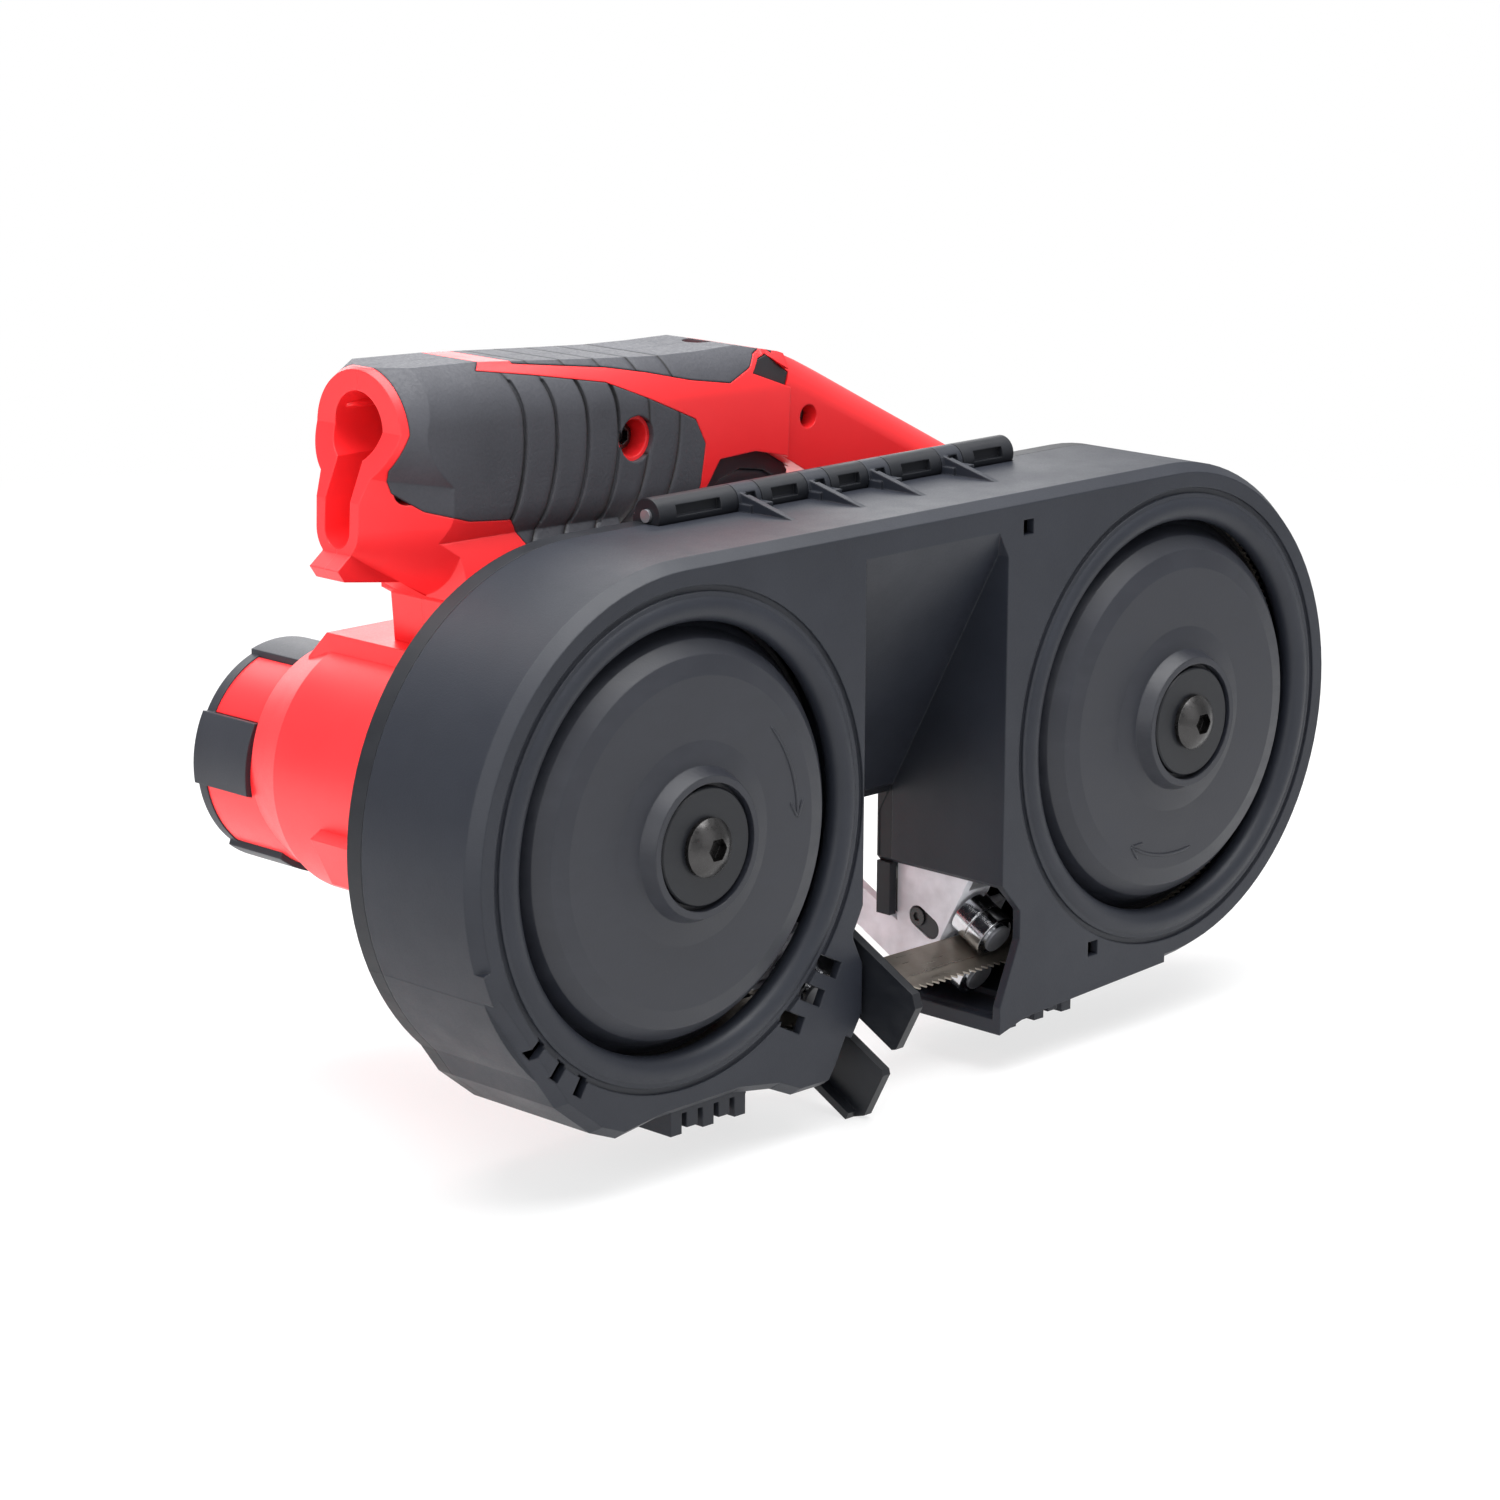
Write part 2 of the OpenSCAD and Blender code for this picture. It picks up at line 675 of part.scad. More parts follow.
module idler_slide() {
    color("#7b7d82") placed() difference() {
        block([wheel_gap - 31, slide_y0, -9.9], [wheel_gap + 20, frame_y0 - 0.1, 9.9]);
        translate([wheel_gap, 0, 0]) rod_y(axle_r, slide_y0 - 1, 34);
        // slot that the lever's cam turns in
        block([pivot_x + cam_throw - cam_r - 0.5, 32.8, -cam_r - cam_throw - 0.5],
              [pivot_x + cam_throw + cam_r + 0.5, frame_y0 + 1, cam_r + cam_throw + 0.5]);
    }
}

module tension_spring() {
    color("#85878b") placed() translate([0, 34.4, 0]) difference() {
        rod_x(3, wheel_gap - 46, wheel_gap - 31);
        rod_x(2, wheel_gap - 47, wheel_gap - 30);
    }
}

module tension_lever() {
    color("#222326") placed() translate([pivot_x, 0, 0]) {
        rod_y(4.5, frame_y0, frame_y1 + 2);
        translate([cam_throw, 0, 0]) rod_y(cam_r, 33.2, frame_y0);
        difference() {
            union() {
                rod_y(9, frame_y1 + 0.4, frame_y1 + 6);
                along_y(frame_y1 + 0.6, frame_y1 + 5.2)
                    polygon([[0, -8], [-34, -5.5], [-40, 0], [-34, 5.5], [0, 8]]);
                along_y(frame_y1 + 0.6, frame_y1 + 9)
                    polygon([[-33, -5.5], [-40, -1], [-40, 1], [-33, 5.5]]);
            }
            rod_y(3, frame_y1 + 4.4, frame_y1 + 8);
        }
    }
}

// Guide bracket: a side plate, a flange square to the blade's width and a foot that
// lies on the rear frame. side is +1 where the flange runs towards +X.
module guide_bracket(plate_x, guide_x, side, top_z) {
    x0 = plate_x;
    flange_far = guide_x + side * 5.2;
    lug_x = guide_x + side * backup_offset;
    difference() {
        union() {
            intersection() {
                at_cut() block([x0, flange_v, -14], [x0 + bracket_t, 34, 30]);
                block([x0 - 1, 0, -70], [x0 + bracket_t + 1, frame_y0, top_z]);
            }
            at_cut() {
                block([min(x0, flange_far), flange_v, -13.4],
                      [max(x0 + bracket_t, flange_far), flange_v + bracket_t, 13.4]);
                block([min(x0, lug_x + side * 5.5), flange_v, -6],
                      [max(x0 + bracket_t, lug_x + side * 5.5), flange_v + bracket_t, 6]);
                for (n = [-5.4, 2.8]) {
                    block([lug_x - 2.6, flange_v + bracket_t - 0.5, n],
                          [lug_x + 2.6, backup_v + 2.4, n + 2.6]);
                }
            }
            // foot on the frame plate
            block([min(x0, x0 + side * 15), frame_y0 - bracket_t, top_z - 9],
                  [max(x0 + bracket_t, x0 + side * 15 + bracket_t), frame_y0, top_z]);
        }
        at_cut() {
            for (s = [-1, 1]) {
                translate([guide_x, 0, s * roller_n])
                    rod_y(roller_pin_r, flange_v - 1, flange_v + bracket_t + 1);
            }
            block([lug_x - backup_r - 0.5, flange_v - 1, -2.5],
                  [lug_x + backup_r + 0.5, backup_v + backup_r + 1, 2.5]);
            translate([lug_x, backup_v, -8]) cylinder(r = 1.6, h = 16);
        }
        translate([x0 + side * foot_screw_x[side > 0 ? 1 : 0], 0, top_z - 4.5])
            rod_y(screw_r + fit, frame_y0 - bracket_t - 1, frame_y0 + 1);
    }
}

module guide_bracket_left() {
    color("#b9babd") placed() difference() {
        guide_bracket(left_plate_x, guide_x_left, -1, left_foot_z);
        at_cut() for (s = [-1, 1]) {
            translate([0, stop_screw_v, s * stop_screw_n])
                rod_x(screw_r + fit, left_plate_x - 1, stop_x + 1);
        }
    }
}

module guide_bracket_right() {
    color("#b9babd") placed() difference() {
        union() {
            guide_bracket(right_plate_x, guide_x_right, 1, right_foot_z);
            // arm that reaches back below the frame
            at_cut() block([right_plate_x, flange_v, -17], [right_plate_x + bracket_t, 39, -7.2]);
        }
        // oblong recess of the guide's clamp screw
        at_cut() {
            for (v = [flange_v + bracket_t + 1.4, clamp_v]) {
                translate([0, v, clamp_n])
                    rod_x(clamp_w / 2, right_plate_x - 1, right_plate_x + 0.9);
            }
            block([right_plate_x - 1, flange_v + bracket_t + 1.4, clamp_n - clamp_w / 2],
                  [right_plate_x + 0.9, clamp_v, clamp_n + clamp_w / 2]);
            translate([0, clamp_v, clamp_n])
                rod_x(screw_r + fit, right_plate_x, right_plate_x + bracket_t + 1);
        }
    }
}

module guide_pins() {
    color("#6f7176") placed() {
        for (g = [guide_x_left, guide_x_right]) {
            for (s = [-1, 1]) {
                at_cut(g) translate([0, 0, s * roller_n]) {
                    rod_y(roller_pin_r, flange_v - 1 - roller_l - 0.2, flange_v + bracket_t);
                    rod_y(3.8, flange_v - 1 - roller_l - 1, flange_v - 1 - roller_l - 0.15);
                }
            }
        }
        for (p = [guide_x_left - backup_offset, guide_x_right + backup_offset]) {
            at_cut(p) translate([0, backup_v, -5.4]) cylinder(r = 1.6, h = 10.8);
        }
    }
}

module guide_roller(x, s) {
    v1 = flange_v - 1;
    v0 = v1 - roller_l;
    at_cut(x) translate([0, 0, s * roller_n]) turned() difference() {
        translate([roller_pin_r + fit, v0]) square([roller_r - roller_pin_r - fit, roller_l]);
        translate([roller_r - 0.25, (v0 + v1) / 2 - 0.2]) square([1, 0.4]);
        for (v = [v0 - 0.5, v1 - 0.5]) {
            translate([roller_pin_r + 0.9, v]) square([1.6, 1]);
        }
    }
}

module roller_upper_left() {
    color("#c9cbce") placed() guide_roller(guide_x_left, 1);
}

module roller_lower_left() {
    color("#c9cbce") placed() guide_roller(guide_x_left, -1);
}

module roller_upper_right() {
    color("#c9cbce") placed() guide_roller(guide_x_right, 1);
}

module roller_lower_right() {
    color("#c9cbce") placed() guide_roller(guide_x_right, -1);
}

module backup_bearing(x) {
    at_cut(x) translate([0, backup_v, -2]) rotate_extrude()
        translate([1.6 + fit, 0]) square([backup_r - 1.6 - fit, 4]);
}

module backup_bearing_left() {
    color("#c9cbce") placed() backup_bearing(guide_x_left - backup_offset);
}

module backup_bearing_right() {
    color("#c9cbce") placed() backup_bearing(guide_x_right + backup_offset);
}

// Cap screws of the guide brackets' feet and of the work stop
module guide_screws() {
    color("#2b2c2f") placed() {
        for (p = [[left_plate_x - foot_screw_x[0], left_foot_z - 4.5],
                  [right_plate_x + foot_screw_x[1], right_foot_z - 4.5]]) {
            translate([p[0], 0, p[1]]) {
                rod_y(screw_r, frame_y0 - bracket_t - 1, frame_y0 + 3);
                rod_y(3, frame_y0 - bracket_t - 2, frame_y0 - bracket_t);
            }
        }
        at_cut() translate([0, clamp_v, clamp_n]) {
            rod_x(screw_r, right_plate_x + 0.5, right_plate_x + bracket_t + 1.5);
            difference() {
                rod_x(2.4, right_plate_x - 0.4, right_plate_x + 0.9);
                translate([right_plate_x - 1, 0, 0]) rotate([0, 90, 0])
                    cylinder(r = 1.2, h = 1.2, $fn = 6);
            }
        }
        at_cut() for (s = [-1, 1]) {
            translate([0, stop_screw_v, s * stop_screw_n]) {
                rod_x(screw_r, left_plate_x, stop_x + stop_t - 0.5);
                rod_x(3, stop_x + stop_t - head_sink, stop_x + stop_t - 0.1);
            }
        }
    }
}

// Fork-shaped stop that the work bears against, with its outer edges folded back
module work_stop() {
    slot = 3.3;
    corner = stop_corner;
    color("#2a2b2e") placed() difference() {
        at_cut() {
            along_x(stop_x, stop_x + stop_t)
                polygon([[17, -14], [17, stop_low], [-stop_reach + corner, stop_low],
                         [-stop_reach, stop_low - corner], [-stop_reach, slot + 1],
                         [-stop_reach + 1, slot], [flange_v, slot], [flange_v, -slot],
                         [-stop_reach + 1, -slot], [-stop_reach, -slot - 1],
                         [-stop_reach, -stop_low + corner], [-stop_reach + corner, -stop_low],
                         [6, -stop_low]]);
            // folded edges
            along_x(stop_x - 3, stop_x + 0.5)
                polygon([[-stop_reach + corner, -stop_low], [2, -stop_low],
                         [2, -stop_low + 2], [-stop_reach + corner, -stop_low + 2]]);
        }
        at_cut() for (s = [-1, 1]) {
            translate([0, stop_screw_v, s * stop_screw_n])
                rod_x(screw_r + fit, stop_x - 1, stop_x + stop_t + 1);
            translate([0, stop_screw_v, s * stop_screw_n])
                rod_x(3 + fit, stop_x + stop_t - head_sink, stop_x + stop_t + 1);
        }
    }
}

// Straight-flanked gear teeth as an (x, z) outline, shrunk by the backlash
module gear_outline(n, slim) {
    r = gear_m * n / 2;
    step = 360 / n;
    polygon([for (i = [0 : n - 1]) for (k = [
            [-0.26 * step, r - 1.2 * gear_m], [-0.235 * step, r - 0.5 * gear_m],
            [-0.115 * step, r + 0.85 * gear_m], [0.115 * step, r + 0.85 * gear_m],
            [0.235 * step, r - 0.5 * gear_m], [0.26 * step, r - 1.2 * gear_m]])
        let (a = i * step + k[0] * (1 - slim)) k[1] * [cos(a), sin(a)]]);
}

module planet_gear(k) {
    color("#a9a59a") placed() rotate([0, -120 * k, 0]) translate([planet_orbit, 0, 0])
        difference() {
            along_y(gear_y0, gear_y0 + gear_w) gear_outline(planet_n, backlash);
            rod_y(2.5 + fit, gear_y0 - 1, gear_y0 + gear_w + 1);
        }
}

module planet_gear_a() {
    planet_gear(0);
}

module planet_gear_b() {
    planet_gear(1);
}

module planet_gear_c() {
    planet_gear(2);
}

module gear_case() {
    color("#8b8d90") placed() difference() {
        union() {
            rod_y(case_r, frame_y1, case_y1);
        }
        rod_y(15, frame_y1 - 1, frame_y1 + 3);
        rod_y(20.6, frame_y1 + 2, gear_y0 - 0.2);
        along_y(gear_y0 - 0.3, gear_y0 + gear_w + 0.4) ring_room();
        rod_y(25.6, gear_y0 + gear_w + 0.3, case_y1 + 1);
    }
}

// The ring gear's inside: the spaces are an outward gear outline
module ring_room() {
    r = gear_m * ring_n / 2;
    step = 360 / ring_n;
    polygon([for (i = [0 : ring_n - 1]) for (k = [
            [-0.30 * step, r - 0.85 * gear_m], [-0.25 * step, r],
            [-0.16 * step, r + 1.2 * gear_m], [0.16 * step, r + 1.2 * gear_m],
            [0.25 * step, r], [0.30 * step, r - 0.85 * gear_m]])
        let (a = i * step + k[0] * 1.08) k[1] * [cos(a), sin(a)]]);
}

module gear_case_cover() {
    color("#8b8d90") placed() turned() difference() {
        translate([5, case_y1]) square([case_r - 5, 3]);
        translate([0, case_y1 + 1.5]) square([8, 3]);
    }
}

module motor_rotor() {
    color("#b08d57") placed() {
        rod_y(2.5, gear_y0 + gear_w, can_y0 + can_l + 2);
        along_y(gear_y0 + 0.2, gear_y0 + gear_w) rotate(180 / sun_n)
            gear_outline(sun_n, backlash);
        rod_y(16, can_y0 + 9, can_y0 + can_l - 9);
    }
}

module motor_can() {
    color("#77797d") placed() turned() difference() {
        translate([2.5 + fit, can_y0]) square([can_r - 2.5 - fit, can_l]);
        translate([0, can_y0 + 7]) square([17.5, can_l - 14]);
    }
}

// Outside of the motor's red sleeve, moved inwards by t
module motor_sleeve(t) {
    front_r = case_r + 2.9;
    rod_y(front_r - t, frame_y1, 108);
    translate([0, 0, 0]) turned()
        polygon([[0, 107.9], [front_r - t, 107.9], [motor_r + 1 - t, 122], [0, 122]]);
    translate([0, 0, -motor_drop]) rod_y(motor_r - t, 100, motor_y - 3);
}

module motor_housing() {
    color("#e2262b") placed() difference() {
        union() {
            motor_sleeve(0);
            // block that carries the handle's rear strut
            along_x(-14, 16)
                polygon([[frame_y1, 0], [116, 0], [116, strut_z - 7], [109, strut_z],
                         [frame_y1, strut_z]]);
            for (a = [-28, 208]) {
                rotate([0, -a, 0])
                    block([24, frame_y1, -7], [35.5, 92, 7]);
            }
        }
        rod_y(case_r + 0.1, frame_y1 - 1, case_y1 + 3.2);
        rod_y(can_r + 0.1, case_y1 + 3, can_y0 + can_l + 0.2);
        rod_y(6, can_y0 + can_l, motor_y - 4);
        for (a = pad_angles) pad_room(a, 0.15);
    }
}

// Seat of one rubber pad on the sleeve's end
module pad_room(a, c) {
    translate([0, 0, -motor_drop]) rotate([0, -a, 0])
        difference() {
            block([18, motor_y - 20 - c, -9 - c], [40, motor_y, 9 + c]);
            rod_y(motor_r - 1.4 - c, motor_y - 25, motor_y + 1);
        }
}

module motor_end_cap() {
    color("#34363b") placed() union() {
        translate([0, 0, -motor_drop]) difference() {
            rod_y(motor_r + 0.3, motor_y - 3, motor_y);
            for (z = [-12 : 6 : 12]) {
                block([-14, motor_y - 1, z - 1], [14, motor_y + 1, z + 1]);
            }
        }
        intersection() {
            for (a = pad_angles) pad_room(a, 0);
            translate([0, 0, -motor_drop]) rod_y(motor_r + 1.5, motor_y - 20, motor_y);
        }
    }
}

// Side outline of the handle as (x, z), run anticlockwise
handle_side = [
    [16, strut_z], [18.5, 44], [22, 55], [50, 55.4], [62, 57.5], [68, 64], [73.5, 71.5],
    [86, 72], [97, 69.5], [106, 64.5], [128, 53.5], [146, 44], [155, 36], [160, 22],
    [192, 22], [192, 45], [187, 53], [168, 61.8], [140, 75.4], [116, 87.6], [106, 92],
    [97, 95.4], [84, 98], [70, 98], [56, 98.4], [36, 99.8], [0, 102.6], [-22, 103.4],
    [-28, 103.2], [-27.6, 89], [-31.6, 79.5], [-34.4, 73], [-35, 60.5], [-39, 57.4],
    [-37, 54.6], [-20, 52.2], [-9, 46], [-8, strut_z]
];
mouth_x = -28;              // rim of the battery mouth at its round top
mouth_top_z = 88;
mouth_low_z = 66;
socket_top = 97.8;
socket_end = 26;            // inner end of the battery socket
strut_back = 11;            // reach of the rear strut behind the handle's middle
lock_end = 15;              // from the handle's middle to the lock-off's ends
lock_head = 5.2;            // length of each end piece of the lock-off

// Narrows the handle towards the battery mouth: a cone round its wide top, a smaller
// cone round its foot and flat flanks between them
module mouth_room(t) {
    grow = 0.5;
    len = 40;
    for (c = [[mouth_x, mouth_top_z, mouth_top_r], [mouth_x - 7, mouth_low_z, mouth_low_r]]) {
        translate([c[0] - 5, handle_y, c[1]]) rotate([0, 90, 0])
            cylinder(r1 = c[2] - t - 5 * grow, r2 = c[2] - t + (len - 5) * grow, h = len);
    }
    translate([0, handle_y, mouth_low_z]) linear_extrude(mouth_top_z - mouth_low_z) {
        low = mouth_low_r - t;
        polygon([[mouth_x - 12, -low + 5 * grow], [mouth_x + 28, -low - 35 * grow],
                 [mouth_x + 28, low + 35 * grow], [mouth_x - 12, low - 5 * grow]]);
    }
    block([mouth_x + 16, 0, 0], [210, 140, 140]);
    // lip below the mouth
    block([mouth_x - 14, handle_y - 5 + t, 40], [mouth_x + 17, handle_y + 5 - t, mouth_low_z - 4]);
}

// Body of the handle, moved inwards by t: the grip, the front strut and the rear strut
module handle_form(t) {
    intersection() {
        mouth_room(t);
        along_y(0, 140) polygon(inset(handle_side, t));
        union() {
            translate([0, handle_y, 79.4]) rotate([0, 2.2, 0])
                along_x(-60, 98) rounded_square(grip_w - 2 * t, grip_h + 3 - 2 * t, 15 - t);
            translate([92, handle_y, 79.8]) rotate([0, 26.5, 0])
                along_x(-8, 130) rounded_square(31 - 2 * t, 36 - 2 * t, 8 - t);
            // rear strut widens towards the frame
            along_x(-45 + t, 40 - t)
                polygon([[frame_y1 + 6 + t, 20], [handle_y - 16 + t, 62], [handle_y - 8, 70],
                         [handle_y + 8, 70], [handle_y + grip_w / 2 - t, 63],
                         [handle_y + strut_back - t, 54], [handle_y + strut_back - t, 20]]);
            // foot of the front strut
            along_x(146 + t, 200 - t)
                polygon([[frame_y1, 20], [frame_y1, 40], [handle_y - 14 + t, 56], [handle_y, 60],
                         [handle_y + 15.5 - t, 50], [handle_y + 15.5 - t, 20]]);
        }
    }
}

// The parts of the handle's side that rubber covers, as (x, z)
rubber_main = [
    [-9, 66.8], [4, 65.5], [12, 55], [62, 54], [66, 62], [67.5, 70], [68.5, 76],
    [65, 82.5], [50, 89], [36, 94.6], [14, 98.5], [-2, 101], [14, 110], [-26.2, 110],
    [-26, 96], [-25.8, 89], [-29.2, 80.6], [-27.5, 75], [-20.5, 70.2]
];
rubber_top = [[10, 101.2], [38, 97.6], [50.3, 95.2], [63.9, 92], [77.3, 89.8], [85, 92.6],
              [95, 95.2], [96, 110], [10, 110]];

// Side profile of the lock-off's ends and of the bar between them, as (x, z)
lock_side = [[86.2, 91.4], [98.9, 86.7], [99.8, 89.8], [92, 95], [89.2, 94.2]];
lock_bar = [[87.5, 91.1], [98.6, 87.2], [99, 88.4], [96.8, 91.4], [88, 91.4]];

// Room that the lock-off slides in, with a clearance c round it
module lock_room(c) {
    along_y(0, handle_y - lock_end + lock_head + lock_travel + gap)
        polygon(inset(lock_side, -c));
    along_y(handle_y + lock_end - lock_head - lock_travel - gap, 140)
        polygon(inset(lock_side, -c));
}

module rubber_region(c) {
    difference() {
        along_y(0, 140) {
            polygon(inset(rubber_main, c));
            polygon(inset(rubber_top, c));
        }
        lock_room(1.6 + c);
    }
}

// Curved grooves between the grip's ribs
module grip_grooves() {
    for (i = [0 : 3]) {
        translate([-32 + 10.2 * i, 0, 84 - 0.9 * i]) rotate([-90, 0, 0])
            rotate_extrude() translate([40, 0]) square([1.1, 140]);
    }
}

module grip_rubber() {
    difference() {
        intersection() {
            difference() {
                handle_form(0);
                handle_form(rubber_t);
            }
            rubber_region(0.15);
        }
        intersection() {
            grip_grooves();
            difference() {
                handle_form(-1);
                handle_form(0.6);
            }
            along_y(0, 140) polygon([[-4, 66], [70, 56], [70, 88], [30, 96], [-4, 99]]);
        }
        translate([45, 0, 80]) rod_y(5.6, 0, 140);
        translate([83, handle_y, 90]) cylinder(r = 3.8, h = 30);
    }
}

// Battery socket in (y, z), moved inwards by c: a round top over a narrow foot
module socket_outline(c) {
    top = socket_top - socket_w / 2;
    low = socket_top - socket_h + socket_low_w / 2;
    translate([handle_y, top]) circle(r = socket_w / 2 - c);
    translate([handle_y, low]) circle(r = socket_low_w / 2 - c);
    translate([handle_y - socket_low_w / 2 + c, low]) square([socket_low_w - 2 * c, top - low]);
}

module shell_cuts() {
    along_x(-60, socket_end) socket_outline(0);
    // room for the switch, the trigger and its travel
    block([58, handle_y - 11, 68], [85.6, handle_y + 11, 92]);
    block([68, handle_y - 10.3, 50], [105.5, handle_y + 10.3, 82]);
    block([socket_end - 1, handle_y - 4, 72], [60, handle_y + 4, 86]);
    lock_room(gap);
    along_y(handle_y - lock_end, handle_y + lock_end) polygon(inset(lock_bar, -gap));
    // screw recesses, as (x, z), radius and the depth that is left to the middle
    for (p = [[45, 80, 4.6, 10], [-24, 75, 3, 8], [107, 78, 3, 10], [150, 56, 3, 10]]) {
        translate([p[0], 0, p[1]]) rod_y(p[2], 0, handle_y - p[3]);
    }
}

module handle_shell() {
    difference() {
        handle_form(0);
        intersection() {
            difference() {
                handle_form(-1);
                handle_form(rubber_t);
            }
            rubber_region(0);
        }
        shell_cuts();
    }
}

module handle_front_shell() {
    color("#e2262b") placed() intersection() {
        handle_shell();
        block([-60, frame_y1, 0], [210, handle_y, 120]);
    }
}

module handle_rear_shell() {
    color("#e2262b") placed() intersection() {
        handle_shell();
        block([-60, handle_y, 0], [210, 120, 120]);
    }
}

module grip_rubber_front() {
    color("#3f4147") placed() intersection() {
        grip_rubber();
        block([-60, 0, 0], [210, handle_y, 120]);
    }
}

module grip_rubber_rear() {
    color("#3f4147") placed() intersection() {
        grip_rubber();
        block([-60, handle_y, 0], [210, 140, 120]);
    }
}

module battery_contacts() {
    color("#1f2023") placed() {
        along_x(socket_end - 6, socket_end - 0.1) socket_outline(0.1);
        for (y = [-2.8, 0, 2.8]) {
            block([socket_end - 20, handle_y + y - 0.5, 68],
                  [socket_end - 5.9, handle_y + y + 0.5, 80]);
        }
    }
}

module trigger_switch() {
    color("#1f2023") placed() difference() {
        block([60, handle_y - 9, switch_z], [85.2, handle_y + 9, 91.8]);
        translate([80, handle_y, switch_z - 1]) cylinder(r = 2 + fit, h = 9);
    }
}

// Trigger with a hollow for the finger and a plunger that reaches into the switch
module trigger() {
    top = switch_z - trigger_travel - 0.3;
    color("#27282b") placed() {
        along_y(handle_y - 10, handle_y + 10)
            polygon([[69, top], [69, 62], [72, 59.6], [76, 60.5], [81, 64.5], [88, 66.5],
                     [97, 65], [104, 61], [105, 64], [99, 72], [96.5, top]]);
        translate([80, handle_y, top - 1]) cylinder(r = 2, h = trigger_travel + 2.8);
    }
}

module lock_off_slide() {
    color("#27282b") placed() {
        along_y(handle_y - lock_end, handle_y - lock_end + lock_head) polygon(lock_side);
        along_y(handle_y + lock_end - lock_head, handle_y + lock_end) polygon(lock_side);
        along_y(handle_y - lock_end + 1, handle_y + lock_end - 1) polygon(lock_bar);
    }
}

rear_frame();
front_cover();
hinge_pin();
blade();
drive_wheel();
drive_tyre();
drive_washer();
drive_bolt();
drive_shaft();
drive_bearings();
idler_wheel();
idler_tyre();
idler_bearings();
idler_axle();
idler_washer();
idler_bolt();
idler_slide();
tension_spring();
tension_lever();
guide_bracket_left();
guide_bracket_right();
guide_pins();
roller_upper_left();
roller_lower_left();
roller_upper_right();
roller_lower_right();
backup_bearing_left();
backup_bearing_right();
guide_screws();
work_stop();
gear_case();
gear_case_cover();
planet_gear_a();
planet_gear_b();
planet_gear_c();
motor_rotor();
motor_can();
motor_housing();
motor_end_cap();
handle_front_shell();
handle_rear_shell();
grip_rubber_front();
grip_rubber_rear();
battery_contacts();
trigger_switch();
trigger();
lock_off_slide();
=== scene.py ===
"""Portable band saw: finishes, moulded details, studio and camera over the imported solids.

Lengths are written in millimetres about the drive wheel's axis, as in the part's own
source: x to the idler wheel, y from the cover's front wall to the motor and z up.
"""

import bpy
import numpy as np
from mathutils import Matrix, Vector


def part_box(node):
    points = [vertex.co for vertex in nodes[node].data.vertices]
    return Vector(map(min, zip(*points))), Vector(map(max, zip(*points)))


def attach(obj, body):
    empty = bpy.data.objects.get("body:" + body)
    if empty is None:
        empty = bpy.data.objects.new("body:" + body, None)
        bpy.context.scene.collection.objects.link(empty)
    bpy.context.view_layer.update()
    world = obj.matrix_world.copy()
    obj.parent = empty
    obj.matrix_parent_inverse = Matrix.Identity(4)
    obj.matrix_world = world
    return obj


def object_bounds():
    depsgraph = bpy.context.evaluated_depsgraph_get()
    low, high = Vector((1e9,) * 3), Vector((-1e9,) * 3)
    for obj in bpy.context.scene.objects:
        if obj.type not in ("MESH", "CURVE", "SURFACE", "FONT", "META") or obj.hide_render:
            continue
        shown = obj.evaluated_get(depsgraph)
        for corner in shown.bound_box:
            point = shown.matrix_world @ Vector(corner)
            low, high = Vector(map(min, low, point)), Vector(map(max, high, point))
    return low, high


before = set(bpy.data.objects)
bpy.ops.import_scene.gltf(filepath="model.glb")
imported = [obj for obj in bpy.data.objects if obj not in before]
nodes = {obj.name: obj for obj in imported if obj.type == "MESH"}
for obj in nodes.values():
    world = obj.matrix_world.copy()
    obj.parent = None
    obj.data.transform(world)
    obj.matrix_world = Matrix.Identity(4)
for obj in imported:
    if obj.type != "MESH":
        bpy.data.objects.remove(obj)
cad_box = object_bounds()

# ---------------------------------------------------------------- placing
# Where the solids that carry the new pieces lie, in mm as above, and in degrees.

TYRE_FRONT = 9.4  # y of the drive tyre's front face
WHEEL_GAP = 175.0  # from the drive wheel's axis to the idler's
WEB_FRONT = -2.4  # y of the wheels' flat front
HANDLE_MID = 80.0  # y of the plane between the handle's shells
HANDLE_SIDE = 70.0  # y of the handle's flat front side
SOCKET_MID = 89.4  # z of the middle of the battery socket's round top
CUT_LINE = (14.35, -53.44)  # y and z of the middle of the blade's cutting run
CUT_TILT = 28.0  # the blade's tilt there

low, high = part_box("drive_tyre")
WHEEL_AXIS = np.array([(low.x + high.x) / 2, low.y - TYRE_FRONT / 1000, (low.z + high.z) / 2])


def in_row(points):
    """Millimetres about the drive wheel's axis, as an (n, 3) array, to the row's metres."""
    return np.asarray(points, float) / 1000 + WHEEL_AXIS


# ---------------------------------------------------------------- meshes


def lay_mesh(name, points, faces, body, finish, smooth=True):
    """A closed mesh from an (n, 3) array of points in mm and a list of faces, riding on a
    body. If its signed volume is negative, every face is turned to look outwards."""
    points = np.asarray(points, float)
    volume = sum(points[f[0]] @ np.cross(points[f[i]], points[f[i + 1]])
                 for f in faces for i in range(1, len(f) - 1))
    if volume < 0:
        faces = [f[::-1] for f in faces]
    mesh = bpy.data.meshes.new(name)
    mesh.from_pydata(in_row(points).tolist(), [], faces)
    mesh.validate()
    mesh.polygons.foreach_set("use_smooth", np.full(len(mesh.polygons), smooth))
    mesh.materials.append(finish)
    piece = bpy.data.objects.new(name, mesh)
    bpy.context.scene.collection.objects.link(piece)
    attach(piece, body)
    return piece


